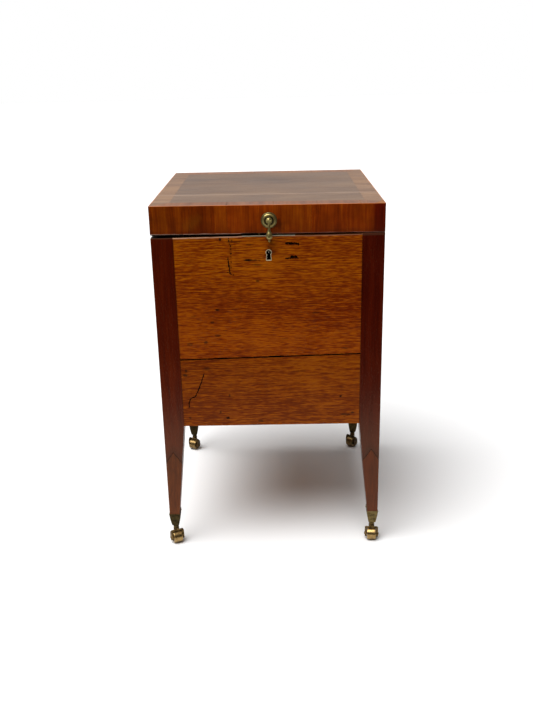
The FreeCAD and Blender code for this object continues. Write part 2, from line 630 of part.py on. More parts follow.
# front edge: leaves of veneer laid side by side with their grain upright
edges = [-W / 2, as_len(-148), as_len(-76), as_len(12), as_len(84), as_len(152), W / 2]
leaves = [cut(box((edges[i], edges[i + 1]), (FRONT, ly0), (LID, tz[0])),
              rod((PX, FRONT - 1, PZ), STUD + 0.05, 5, "+Y")) if i == 2 else
          box((edges[i], edges[i + 1]), (FRONT, ly0), (LID, tz[0])) for i in range(6)]
node(group(leaves), "lid_front_crossbanding")
node(group([box((-W / 2, -lx), (ly0, BACK), (LID, tz[0])),
            box((lx, W / 2), (ly0, BACK), (LID, tz[0]))]), "lid_side_crossbanding")

# ------------------------------------------------------------------ hinges
c_leaves, l_leaves, pins = [], [], []
for s in (-1, 1):
    x0, x1 = s * HX - HL / 2, s * HX + HL / 2
    m0, m1 = s * HX - HM / 2, s * HX + HM / 2
    clear_y = HY - BR - 0.3
    # carcass leaf: plate with the two outer knuckles
    plate_c = box((x0, x1), (leaf_y0, HY), (HZ - 0.2 - LT, HZ - 0.2))
    outer_k = [rod((x0, HY, HZ), BR, m0 - x0 - 0.15, "+X"),
               rod((m1 + 0.15, HY, HZ), BR, x1 - m1 - 0.15, "+X")]
    gap = box((m0 - 0.15, m1 + 0.15), (clear_y, HY + 10), (HZ - 10, HZ + 10))
    c_holes = [fuse([rod((s * HX + du, BACK - 8.5 if du else BACK - 5.5, HZ), 1.25, 6, "-Z"),
                     cone((s * HX + du, BACK - 8.5 if du else BACK - 5.5, HZ - 0.18),
                          2.47, 1.27, 1.34, "-Z")]) for du in (-22, 0, 22)]
    c_leaves.append(cut(fuse([plate_c] + outer_k), gap,
                        rod((x0 - 1, HY, HZ), PIN + RUN, HL + 2, "+X"), *c_holes))
    # lid leaf: plate with the middle knuckle
    plate_l = box((x0, x1), (leaf_y0, HY), (HZ + 0.2, HZ + 0.2 + LT))
    mid_k = rod((m0, HY, HZ), BR, HM, "+X")
    gaps = [box((x0 - 1, m0), (clear_y, HY + 10), (HZ - 10, HZ + 10)),
            box((m1, x1 + 1), (clear_y, HY + 10), (HZ - 10, HZ + 10))]
    l_holes = [fuse([rod((s * HX + du, BACK - 8.5 if du else BACK - 5.5, HZ), 1.25, 6, "+Z"),
                     cone((s * HX + du, BACK - 8.5 if du else BACK - 5.5, HZ + 0.18),
                          2.47, 1.27, 1.34, "+Z")]) for du in (-22, 0, 22)]
    l_leaves.append(cut(fuse([plate_l, mid_k]), gaps[0], gaps[1],
                        rod((x0 - 1, HY, HZ), PIN + RUN, HL + 2, "+X"), *l_holes))
    pins.append(rod((x0, HY, HZ), PIN, HL, "+X"))
node(group(c_leaves), "hinge_carcass_leaves")
node(group(l_leaves), "hinge_lid_leaves")
node(group(pins), "hinge_pins")
node(group(hinge_screw_c), "hinge_carcass_screws")
node(group(hinge_screw_l + link_screws), "lid_screws")

# ------------------------------------------------------------------ pull
BS, PO = dim("boss"), dim("pivot_out")
rosette = turned([(STUD + 0.05, 0), (BS, 0), (BS, 1.3), (BS - 1.4, 2.5), (BS - 2.0, 2.2),
                  (BS - 5.8, 4.6), (BS - 8.0, 3.9), (STUD + 0.05, 3.9)],
                 (PX, FRONT, PZ), TURN["-Y"],
                 {2: (BS - 0.5, 2.25), 4: (BS - 3.7, 3.8), 5: (BS - 7.0, 4.5)})
node(rosette, "pull_rosette")

# stud: shank through the lid's rail and a hooded head, hollowed for the eye of the drop
pivot_y = FRONT - PO
head_core = turned([(0, 0), (6.2, 0), (6.2, 5.4), (4.6, 8.0), (0, 9.3)],
                   (PX, FRONT - 3.95, PZ), TURN["-Y"], {2: (5.7, 7.0), 3: (2.4, 9.0)})
shank = rod((PX, FRONT - 4.2, PZ), STUD, 25.9, "+Y")
eye_slot = box((PX - 4.75, PX + 4.75), (FRONT - 20, FRONT - 5.6), (PZ - 8, PZ + 3.5))
cross = rod((PX - 5.7, pivot_y, PZ), 0.8, 11.4, "+X")
node(fuse([cut(fuse([head_core, shank]), eye_slot), cross]), "pull_stud")
nut = box((PX - 4.5, PX + 4.5), (ly0 + RT, ly0 + RT + 4), (PZ - 4.5, PZ + 4.5))
node(cut(nut, rod((PX, ly0 + RT - 1, PZ), STUD + 0.05, 6, "+Y")), "pull_nut")

# drop: barrel eye on the cross pin, waisted stem, pear and finial
eye = cut(rod((PX - 4.5, pivot_y, PZ), 2.5, 9.0, "+X"),
          rod((PX - 6, pivot_y, PZ), 0.85, 12, "+X"))
pear = turned([(0, -2.0), (2.6, -2.0), (2.7, -5.0), (2.15, -13.6), (2.5, -15.2), (4.6, -22.0),
               (6.2, -28.2), (2.3, -35.2), (1.5, -35.9), (2.1, -37.6), (1.0, -39.6), (0, -40.8)],
              (PX, pivot_y, PZ), None,
              {2: (2.3, -9.2), 4: (3.25, -18.7), 5: (5.7, -25.0), 6: (5.35, -32.6), 8: (2.15, -36.5),
               9: (1.8, -38.8)})
pear_core = cut(pear, rod((PX - 3, pivot_y, PZ), 0.85, 6, "+X"))
node(fuse([eye, pear_core]), "pull_drop")

# ------------------------------------------------------------------ casters
WR, TRD, TRL, AX = dim("wheel"), dim("tread"), dim("trail"), dim("axle")
AT, CH, SWV, NZ = dim("arm_t"), dim("cheek"), dim("swivel"), dim("neck_z")


def cup_outline(grow_bottom=0):
    """Half outline of a cup, mirrored: rim, convex side, square foot."""
    right = [(as_len(12.3), RIM), (as_len(12.3), RIM - 1.5), (as_len(11.7), RIM - 2),
             (as_len(7.4), as_len(43.4)), (as_len(6.5), as_len(42.4))]
    left = [(-a, b) for a, b in reversed(right)]
    return right + left, {2: (10.1, 57), 6: (-10.1, 57)}


def cup_cavity():
    right = [(as_len(11.1), RIM + 2), (as_len(11.1), RIM), (as_len(9.5), RIM - 11),
             (as_len(6.1), TEN - 0.1), (as_len(5.0), TEN - 0.1), (as_len(5.0), as_len(46))]
    return right + [(-a, b) for a, b in reversed(right)]


for key in ("fl", "fr", "bl", "br"):
    sx, sy = SIDES[key]
    cx, cy = sx * (W / 2 - FOOT / 2), sy * (D / 2 - FOOT / 2)
    pts, arcs = cup_outline()
    outer = common(prism("XZ", pts, -13, 26, arcs), prism("YZ", pts, -13, 26, arcs))
    cav = cup_cavity()
    inner = common(prism("XZ", cav, -12, 24), prism("YZ", cav, -12, 24))
    neck = turned([(0, NZ), (6.0, NZ), (6.0, NZ + 1.0), (5.4, NZ + 1.9), (5.8, 43.3), (0, 43.3)],
                  arcs={3: (5.4, 42.0)})
    solid = cut(fuse([outer, neck]), inner, rod((0, 0, 30), SWV + RUN, 20))
    # raised tab on the inner side, standing against the leg
    tab_x = [(-sx * 11.15, 71.4), (-sx * 12.2, 71.4), (-sx * 13.4, 82.6), (-sx * 12.25, 82.6)]
    tab = prism("XZ", tab_x, -4.2, 8.4)
    tab_hole = rod((-sx * 8, 0, RIM + 5.5), 0.85, 8, "-X" if sx > 0 else "+X")
    cup = fuse([solid, cut(tab, tab_hole)])
    place(cup, cx, cy, 0)
    node(cup, "caster_cup_" + NAMES[key])

    turn = Rotation(Vector(0, 0, 1), VALUE["turn_" + key])
    # fork: crown ring, horned arms and the pintle riveted over inside the cup
    front_view = prism("XZ", [(as_len(-7), as_len(33.8)), (-CH - AT, as_len(27)), (-CH - AT, as_len(5)),
                              (-CH, as_len(5)), (-CH, WR * 2 + 0.9), (CH, WR * 2 + 0.9), (CH, as_len(5)),
                              (CH + AT, as_len(5)), (CH + AT, as_len(27)), (as_len(7), as_len(33.8))],
                       -25, 40, {0: (-12.3, 32.2), 8: (12.3, 32.2)})
    # the crown falls away behind the swivel, the arms reach back down to the axle
    side_view = prism("YZ", [(as_len(2), as_len(24.9)), (6.9 - TRL, as_len(12.6)), (-6.9 - TRL, as_len(12.6)),
                             (as_len(-6.9), as_len(33.8))], -20, 40,
                      {0: (3.75, 18.8), 1: (-TRL, WR - 7.4), 2: (-9.7, 24)})
    # the crown stops short in front, so that the wheel shows between the arms
    horn = cut(common(front_view, side_view), box((-CH, CH), (as_len(-20), as_len(-6.3)), (as_len(20), as_len(40))))
    ring = turned([(0, WR * 2 + 0.9), (6.2, WR * 2 + 0.9), (6.2, 34.6), (5.7, 36.4), (5.4, NZ - 0.3),
                   (0, NZ - 0.3)], arcs={2: (6.1, 35.6)})
    pintle = turned([(0, 36), (SWV, 36), (SWV, 46.3), (4.1, 46.3), (3.6, 48), (0, 48.6)])
    fork = cut(fuse([horn, ring, pintle]), rod((-20, -TRL, WR), AX + RUN, 40, "+X"))
    fork.Placement = Placement(Vector(0, 0, 0), turn)
    bind(fork, "Placement.Base.x", cx)
    bind(fork, "Placement.Base.y", cy)
    node(fork, "caster_fork_" + NAMES[key])

    # axle: a pin with a domed head at each end
    a = CH + AT + 0.1
    axle = turned([(0, -a - 1.5), (as_len(1.6), -a - 1.3), (as_len(3.2), -a - 0.5), (as_len(3.2), -a),
                   (AX, -a), (AX, a), (as_len(3.2), a), (as_len(3.2), a + 0.5), (as_len(1.6), a + 1.3),
                   (0, a + 1.5)], arcs={1: (2.58, -a.n - 1.03), 7: (2.58, a.n + 1.03)})
    trail_v = turn.multVec(Vector(0, -VALUE["trail"], 0))
    full = turn.multiply(TURN["+X"])
    axle.Placement = Placement(Vector(0, 0, 0), full)
    ax_x, ax_y = cx + trail_v.x / VALUE["trail"] * TRL, cy + trail_v.y / VALUE["trail"] * TRL
    bind(axle, "Placement.Base.x", ax_x)
    bind(axle, "Placement.Base.y", ax_y)
    bind(axle, "Placement.Base.z", WR)
    node(axle, "caster_axle_" + NAMES[key])

    # wheel: broad tread with eased edges, dished sides and a hub
    hw = TRD / 2
    wheel = turned([(AX + RUN, -hw), (as_len(4.6), -hw), (as_len(5.2), -hw + 1.5), (as_len(9.6), -hw + 1.5),
                    (as_len(10.3), -hw), (WR - 1.3, -hw), (WR, -hw + 1.3), (WR, hw - 1.3),
                    (WR - 1.3, hw), (as_len(10.3), hw), (as_len(9.6), hw - 1.5), (as_len(5.2), hw - 1.5),
                    (as_len(4.6), hw), (AX + RUN, hw)],
                   arcs={5: (WR.n - 0.38, -hw.n + 0.38), 7: (WR.n - 0.38, hw.n - 0.38)})
    wheel.Placement = Placement(Vector(0, 0, 0), full)
    bind(wheel, "Placement.Base.x", ax_x)
    bind(wheel, "Placement.Base.y", ax_y)
    bind(wheel, "Placement.Base.z", WR)
    node(wheel, "caster_wheel_" + NAMES[key])

# ------------------------------------------------------------------ check and write
doc.recompute()
bad = [o.Name + " " + o.Label + " " + str(o.State) for o in doc.Objects
       if "Invalid" in o.State or "Error" in o.State]
for o in NODES:
    if o.Shape.isNull() or not o.Shape.isValid() or not o.Shape.Solids:
        bad.append("shape of " + o.Label)
if bad:
    raise RuntimeError("failed objects: " + "; ".join(bad))
if len(NODES) > 60:
    raise RuntimeError("too many sub-parts: %d" % len(NODES))
os.makedirs("parts", exist_ok=True)
for o in NODES:
    o.Shape.exportStep("parts/" + o.Label + ".step")
    bb = o.Shape.BoundBox
    print("%-28s solids %2d  vol %10.1f  x %7.1f %7.1f  y %7.1f %7.1f  z %6.1f %6.1f" % (
        o.Label, len(o.Shape.Solids), o.Shape.Volume, bb.XMin, bb.XMax, bb.YMin, bb.YMax,
        bb.ZMin, bb.ZMax))
print(len(NODES), "nodes")
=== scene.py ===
import json
import math
import random

import bmesh
import bpy
from mathutils import Matrix, Vector, noise


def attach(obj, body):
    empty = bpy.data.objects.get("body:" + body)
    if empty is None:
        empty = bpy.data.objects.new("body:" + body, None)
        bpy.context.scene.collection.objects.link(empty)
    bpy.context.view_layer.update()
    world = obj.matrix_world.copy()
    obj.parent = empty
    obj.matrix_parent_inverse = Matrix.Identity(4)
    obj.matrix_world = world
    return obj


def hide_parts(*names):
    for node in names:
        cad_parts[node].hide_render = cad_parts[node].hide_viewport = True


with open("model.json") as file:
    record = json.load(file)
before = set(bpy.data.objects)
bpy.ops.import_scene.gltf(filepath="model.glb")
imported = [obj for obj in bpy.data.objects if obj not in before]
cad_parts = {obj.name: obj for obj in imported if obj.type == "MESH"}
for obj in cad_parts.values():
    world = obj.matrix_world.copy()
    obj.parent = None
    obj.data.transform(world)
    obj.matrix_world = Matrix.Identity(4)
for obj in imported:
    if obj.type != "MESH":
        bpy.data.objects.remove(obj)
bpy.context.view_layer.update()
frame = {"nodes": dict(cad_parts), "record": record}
N = frame["nodes"]
scene = bpy.context.scene
FRONT = -240.0
BODY = {n: b for b, names in frame["record"]["behaviour"]["bodies"].items() for n in names}


# ---------------------------------------------------------------- node helper
class Tree(object):
    """Short calls for building a node tree."""

    def __init__(self, tree):
        self.t = tree

    def add(self, kind, **props):
        n = self.t.nodes.new(kind)
        for k, v in props.items():
            setattr(n, k, v)
        return n

    def put(self, socket, value):
        if isinstance(value, bpy.types.NodeSocket):
            self.t.links.new(value, socket)
        elif value is not None:
            socket.default_value = value
        return socket

    def math(self, op, a, b=None, c=None, clamp=False):
        n = self.add("ShaderNodeMath", operation=op, use_clamp=clamp)
        for i, v in enumerate((a, b, c)):
            self.put(n.inputs[i], v)
        return n.outputs[0]

    def vmath(self, op, a, b=None):
        n = self.add("ShaderNodeVectorMath", operation=op)
        self.put(n.inputs[0], a)
        self.put(n.inputs[1], b)
        return n.outputs["Value"] if op in ("DISTANCE", "LENGTH", "DOT_PRODUCT") else n.outputs[0]

    def sep(self, v):
        n = self.add("ShaderNodeSeparateXYZ")
        self.put(n.inputs[0], v)
        return n.outputs

    def comb(self, x=0.0, y=0.0, z=0.0):
        n = self.add("ShaderNodeCombineXYZ")
        for i, v in enumerate((x, y, z)):
            self.put(n.inputs[i], v)
        return n.outputs[0]

    def mix(self, fac, a, b, mode="MIX"):
        n = self.add("ShaderNodeMix", data_type="RGBA", blend_type=mode)
        self.put(n.inputs[0], fac)
        self.put(n.inputs[6], a)
        self.put(n.inputs[7], b)
        return n.outputs[2]

    def lerp(self, fac, a, b):
        n = self.add("ShaderNodeMix", data_type="FLOAT")
        self.put(n.inputs[0], fac)
        self.put(n.inputs[2], a)
        self.put(n.inputs[3], b)
        return n.outputs[0]

    def smooth(self, v, lo, hi, out0=0.0, out1=1.0):
        n = self.add("ShaderNodeMapRange", interpolation_type="SMOOTHSTEP")
        for i, x in enumerate((v, lo, hi, out0, out1)):
            self.put(n.inputs[i], x)
        return n.outputs[0]

    def linear(self, v, lo, hi, out0=0.0, out1=1.0):
        n = self.add("ShaderNodeMapRange", interpolation_type="LINEAR")
        for i, x in enumerate((v, lo, hi, out0, out1)):
            self.put(n.inputs[i], x)
        return n.outputs[0]

    def noise(self, vec, scale=1.0, detail=2.0, rough=0.5, dist=0.0, color=False):
        n = self.add("ShaderNodeTexNoise", noise_dimensions="3D")
        self.put(n.inputs["Vector"], vec)
        n.inputs["Scale"].default_value = scale
        n.inputs["Detail"].default_value = detail
        n.inputs["Roughness"].default_value = rough
        n.inputs["Distortion"].default_value = dist
        return n.outputs["Color" if color else 0]

    def ramp(self, fac, stops, interp="LINEAR"):
        n = self.add("ShaderNodeValToRGB")
        n.color_ramp.interpolation = interp
        e = n.color_ramp.elements
        while len(e) < len(stops):
            e.new(0.5)
        for i, (pos, col) in enumerate(stops):
            e[i].position = pos
            e[i].color = (col[0], col[1], col[2], 1)
        self.put(n.inputs[0], fac)
        return n.outputs[0]

    def scaled(self, vec, s, loc=(0, 0, 0), rot=(0, 0, 0)):
        n = self.add("ShaderNodeMapping", vector_type="POINT")
        self.put(n.inputs["Vector"], vec)
        n.inputs["Scale"].default_value = s
        n.inputs["Location"].default_value = loc
        n.inputs["Rotation"].default_value = rot
        return n.outputs[0]


def material(name):
    m = bpy.data.materials.new(name)
    m.use_nodes = True
    m.node_tree.nodes.clear()
    t = Tree(m.node_tree)
    out = t.add("ShaderNodeOutputMaterial")
    t.bsdf = t.add("ShaderNodeBsdfPrincipled")
    t.t.links.new(t.bsdf.outputs[0], out.inputs[0])
    t.P = t.add("ShaderNodeTexCoord").outputs["Object"]
    return m, t


def srgb(r, g, b):
    """Linear colour of an sRGB triple given as 0-255."""
    def f(c):
        c /= 255.0
        return c / 12.92 if c <= 0.04045 else ((c + 0.055) / 1.055) ** 2.4
    return (f(r), f(g), f(b))


def grey(v):
    return (v, v, v)


def stretch(along, fu, fv):
    return tuple(fu if a == along else fv for a in "xyz")


# ---------------------------------------------------------------- wood
def wood(name, along, dark, mid, light, pore, grain, fleck=(26, 330), fleck_cut=0.60, fleck_mix=0.5,
         pore_mix=0.3, ripple=0.0, blotch=0.25, rough=0.32, level=0.3, bump=0.25, warp=0.003, marks=None, seed=0,
         tint=(1.0, 0.80, 0.55), lines=None, sway=None):
    """A figured, polished wood. grain is a list of (scale along, scale across, detail, weight) layers
    of streaks; over them lie short dark flecks, fine pores and cloudy patina. The grain wavers by
    warp metres, with a fine ripple in it, and roughness and bump follow the same pattern."""
    m, t = material(name)
    P = t.vmath("ADD", t.P, (seed * 0.37, seed * 0.23, seed * 0.51))
    w1 = t.math("SUBTRACT", t.noise(t.scaled(P, stretch(along, 9, 13)), 1.0, 2.0), 0.5)
    w2 = t.math("SUBTRACT", t.noise(t.scaled(P, stretch(along, 58, 46)), 1.0, 1.0), 0.5)
    shift = t.math("ADD", t.math("MULTIPLY", w1, warp * 8), t.math("MULTIPLY", w2, ripple * 0.008))
    axes = {"x": (0.0, shift, shift), "y": (shift, 0.0, shift), "z": (shift, shift, 0.0)}[along]
    # a flat board sways in its own plane only, so that its lines run on unbroken
    shifted = t.comb(*axes)
    if sway:
        shifted = t.vmath("MULTIPLY", shifted, sway)
    Q = t.vmath("ADD", P, shifted)
    cloud = t.noise(P, 7.0, 3.0, 0.55)
    tone = t.math("MULTIPLY_ADD", t.math("SUBTRACT", cloud, 0.5), blotch * 4, 0.5)
    fine = None
    for k, (fu, fv, detail, weight) in enumerate(grain):
        place = (k * 3.1, k * 1.7, k * 2.3)
        g = t.noise(t.scaled(Q, stretch(along, fu, fv), place), 1.0, detail, 0.55)
        tone = t.math("MULTIPLY_ADD", t.math("SUBTRACT", g, 0.5), weight, tone)
        fine = g
    if lines:
        # thin even lines: a pattern less its two neighbours, which leaves only what is narrow
        for n, (fu, fv, apart, weight) in enumerate(lines):
            abc = [t.noise(t.scaled(Q, stretch(along, fu, fv), tuple(o + k * d for o, d in zip(
                (7.7 + n, 5.3 - n, 9.1 + n), stretch(along, 0.0, apart * fv)))), 1.0, 1.0, 0.5) for k in (0, 1, -1)]
            fine = t.math("SUBTRACT", t.math("SUBTRACT", t.math("MULTIPLY", abc[0], 2.0), abc[1]), abc[2])
            tone = t.math("MULTIPLY_ADD", fine, weight, tone)
        fine = t.math("ADD", fine, 0.5)
    g3 = t.noise(t.scaled(Q, stretch(along, *fleck)), 1.0, 2.0, 0.5)
    g4 = t.noise(t.scaled(Q, stretch(along, 110, 1500)), 1.0, 1.0, 0.5)
    col = t.ramp(tone, [(0.08, dark), (0.5, mid), (0.92, light)])
    keep = t.smooth(cloud, 0.36, 0.60, 1.0, 0.35)
    fm = t.math("MULTIPLY", t.smooth(g3, fleck_cut, fleck_cut + 0.09), keep)
    col = t.mix(t.math("MULTIPLY", fm, fleck_mix), col, (*pore, 1))
    pm = t.smooth(g4, 0.60, 0.74)
    col = t.mix(t.math("MULTIPLY", pm, pore_mix), col, (*pore, 1))
    r = t.math("MULTIPLY_ADD", t.math("SUBTRACT", cloud, 0.5), 0.22, rough)
    r = t.math("MULTIPLY_ADD", pm, 0.10, r)
    r = t.math("MULTIPLY_ADD", fm, 0.06, r)
    high = t.math("MULTIPLY_ADD", fm, -0.5, t.math("MULTIPLY", fine, 0.5))
    high = t.math("MULTIPLY_ADD", pm, -0.35, high)
    if marks:
        col, r, high = marks(t, col, r, high)
    t.put(t.bsdf.inputs["Base Color"], col)
    t.put(t.bsdf.inputs["Roughness"], t.math("MAXIMUM", r, 0.08))
    b = t.add("ShaderNodeBump")
    b.inputs["Strength"].default_value = bump
    b.inputs["Distance"].default_value = 0.0006
    t.put(b.inputs["Height"], high)
    t.put(t.bsdf.inputs["Normal"], b.outputs[0])
    t.bsdf.inputs["Specular IOR Level"].default_value = level
    t.bsdf.inputs["Specular Tint"].default_value = (*tint, 1.0)
    return m


def near(t, axis, value, width, jitter=0.0, scale=60.0):
    """A mask that is 1 on the plane axis = value (mm) and fades out over width (mm)."""
    s = t.sep(t.P)[{"x": 0, "y": 1, "z": 2}[axis]]
    d = t.math("ABSOLUTE", t.math("SUBTRACT", s, value * 0.001))
    if jitter:
        n = t.math("SUBTRACT", t.noise(t.P, scale, 3.0, 0.6), 0.5)
        d = t.math("MULTIPLY_ADD", n, jitter * 0.002, d)
    return t.smooth(d, 0.0, width * 0.001, 1.0, 0.0)


def spot(t, at, size, wobble=0.25, scale=220.0, hard=0.45):
    """A mask for one soft-edged mark at (x, z) mm on the front, size (rx, rz) mm."""
    s = (1000.0 / size[0], 0.0, 1000.0 / size[1])
    v = t.scaled(t.P, s, (-at[0] / size[0], 0.0, -at[1] / size[1]))
    d = t.vmath("LENGTH", v)
    n = t.math("SUBTRACT", t.noise(t.P, scale, 2.0), 0.5)
    d = t.math("MULTIPLY_ADD", n, wobble * 4, d)
    return t.smooth(d, hard, 1.0, 1.0, 0.0)


KNOTS_UPPER = [((-102.2, 532.5), (5.2, 2.3), 0.95), ((-113.8, 507.1), (4.4, 2.2), 0.75),
               ((-103.1, 478.8), (6.0, 2.0), 0.7), ((-21.3, 589.9), (4.4, 2.4), 0.7),
               ((-127.8, 465.1), (4.2, 3.2), 0.7), ((-38.0, 631.9), (8.5, 2.1), 0.95),
               ((-27.5, 631.2), (13.0, 1.8), 0.7), ((-21.5, 621.9), (12.0, 1.8), 0.6),
               ((-91.0, 673.2), (3.2, 3.4), 0.85), ((-60.0, 668.0), (11.0, 1.8), 0.55),
               ((-160.0, 462.0), (6.0, 3.2), 0.5), ((60.0, 610.0), (13.0, 1.8), 0.35),
               ((150.0, 448.0), (10.0, 2.2), 0.5), ((92.0, 523.0), (10.0, 2.0), 0.5),
               ((-36.0, 662.0), (7.0, 1.8), 0.6), ((-150.0, 520.0), (5.0, 1.8), 0.4),
               ((30.0, 470.0), (9.0, 1.8), 0.35), ((-60.0, 556.0), (7.0, 1.8), 0.4)]
SHADES = [((-72.5, 655.0), (5.5, 26.0), 0.30), ((-74.0, 618.0), (5.0, 20.0), 0.25), ((-74.0, 672.0), (9.0, 5.0), 0.35)]
KNOTS_LOWER = [((-89.9, 298.9), (4.6, 3.0), 0.9), ((-20.7, 291.2), (6.5, 2.1), 0.8),
               ((142.7, 343.8), (3.6, 2.5), 0.9), ((-84.7, 349.3), (2.2, 4.2), 0.7),
               ((-171.2, 404.8), (3.0, 4.0), 0.7), ((-173.0, 395.5), (6.0, 2.8), 0.8),
               ((-104.5, 312.0), (2.2, 3.4), 0.7), ((-168.0, 300.0), (2.4, 2.8), 0.6),
               ((-128.0, 409.0), (9.0, 4.0), 0.5), ((152.0, 303.0), (11.0, 2.0), 0.8),
               ((168.0, 306.5), (5.0, 2.2), 0.8), ((60.0, 400.0), (14.0, 2.0), 0.3)]


def board_marks(knots, grime, lighter_towards_top=None):
    def f(t, col, r, high):
        ink = (*srgb(34, 12, 4), 1)
        s3 = t.sep(t.P)
        if lighter_towards_top:
            # a little lighter and warmer towards the top
            k = t.smooth(s3[2], *lighter_towards_top)
            col = t.mix(1.0, col, t.comb(k, t.math("MULTIPLY", k, k), k), "MULTIPLY")
        for at, size, k in knots:
            m = spot(t, at, (size[0] * 1.2, size[1] * 1.25))
            col = t.mix(t.math("MULTIPLY", m, k), col, ink)
        for at, size, k in grime:
            m = spot(t, at, size, 0.5, 90.0, 0.0)
            col = t.mix(t.math("MULTIPLY", m, k), col, (*srgb(44, 18, 4), 1))
        # dirt held along the corner posts
        for sx in (-182, 182):
            m = near(t, "x", sx, 2.2, 0.8, 240.0)
            col = t.mix(t.math("MULTIPLY", m, 0.55), col, ink)
        # top arris rubbed light, with a painted highlight on it, strongest at the left
        line = t.math("MULTIPLY_ADD", s3[0], 0.00879, 0.67907)
        worn = t.linear(s3[0], -0.02, 0.09, 0.0, 0.0018)
        line = t.math("SUBTRACT", line, worn)
        nn = t.math("MULTIPLY", t.math("SUBTRACT", t.noise(t.P, 90, 3.0, 0.6), 0.5), 0.0024)
        top = t.smooth(t.math("ADD", s3[2], nn), t.math("SUBTRACT", line, 0.0025), t.math("SUBTRACT", line, 0.0013))
        top = t.math("MULTIPLY", top, t.smooth(s3[0], 0.06, -0.10, 0.35, 0.95))
        col = t.mix(top, col, (*srgb(196, 146, 116), 1))
        # painted shade: the board's top behind its front arris, under the lid, is near-black
        painted_shade_behind = t.math("MULTIPLY", t.smooth(s3[1], -0.2392, -0.2380), t.smooth(s3[2], 0.6765, 0.6772))
        col = t.mix(painted_shade_behind, col, (*srgb(24, 11, 5), 1))
        r = t.lerp(painted_shade_behind, r, 0.9)
        # inside face: bare, paler and dull
        y = t.sep(t.P)[1]
        inner = t.smooth(y, -0.2380, -0.2372)
        n = t.noise(t.scaled(t.P, (9, 160, 160)), 1.0, 4.0, 0.6)
        bare = t.ramp(n, [(0.3, srgb(96, 60, 34)), (0.7, srgb(150, 104, 66))])
        col = t.mix(inner, col, bare)
        r = t.lerp(inner, r, 0.62)
        return col, r, high
    return f


UPPER_GRIME = [((1.4, 646.0), (13, 19), 0.75), ((3.4, 668.0), (7, 10), 0.7), ((46, 663.0), (18, 4.5), 0.55),
               ((47, 636.0), (18, 4.5), 0.55), ((-40, 632), (12, 4), 0.5)] + SHADES

RIPPLED = [(1.6, 9, 1.0, 1.1), (6, 60, 1.0, 0.08), (12, 250, 1.0, 0.06)]
FINE = ((20, 760, 0.0017, 0.95), (75, 880, 0.0015, 0.95))

front_upper_wood = wood("board_front_upper", "x", srgb(108, 35, 2), srgb(149, 64, 3), srgb(174, 89, 5),
                        srgb(58, 16, 2), RIPPLED, lines=FINE, sway=(0, 0, 1), fleck=(90, 820),
                        fleck_cut=0.61, fleck_mix=0.34, ripple=0.05,
                        blotch=0.16, rough=0.29, bump=0.30, warp=0.0008, marks=board_marks(KNOTS_UPPER, UPPER_GRIME, (0.50, 0.63, 0.90, 1.08)),
                        tint=(1.0, 0.75, 0.40))
front_lower_wood = wood("board_front_lower", "x", srgb(96, 32, 2), srgb(128, 53, 3), srgb(152, 76, 5),
                        srgb(58, 18, 3), RIPPLED, lines=FINE, sway=(0, 0, 1), fleck=(90, 820),
                        fleck_cut=0.61, fleck_mix=0.34, ripple=0.05,
                        blotch=0.18, rough=0.30, level=0.22, bump=0.28, warp=0.0010, seed=3,
                        marks=board_marks(KNOTS_LOWER, []), tint=(1.0, 0.72, 0.36))
side_wood = wood("board_side", "y", srgb(104, 34, 3), srgb(142, 58, 4), srgb(170, 84, 8),
                 srgb(60, 18, 3), RIPPLED, lines=FINE, sway=(0, 0, 1), fleck=(100, 760),
                 fleck_cut=0.63, fleck_mix=0.30, ripple=0.06,
                 blotch=0.16, rough=0.31, bump=0.32, warp=0.002, seed=5)
back_wood = wood("board_back", "x", srgb(90, 48, 22), srgb(124, 72, 36), srgb(148, 92, 50),
                 srgb(52, 27, 12), RIPPLED, lines=FINE, sway=(0, 0, 1), fleck=(40, 420), fleck_cut=0.62, fleck_mix=0.5, ripple=0.2,
                 blotch=0.25, rough=0.55, bump=0.45, warp=0.002, seed=8)


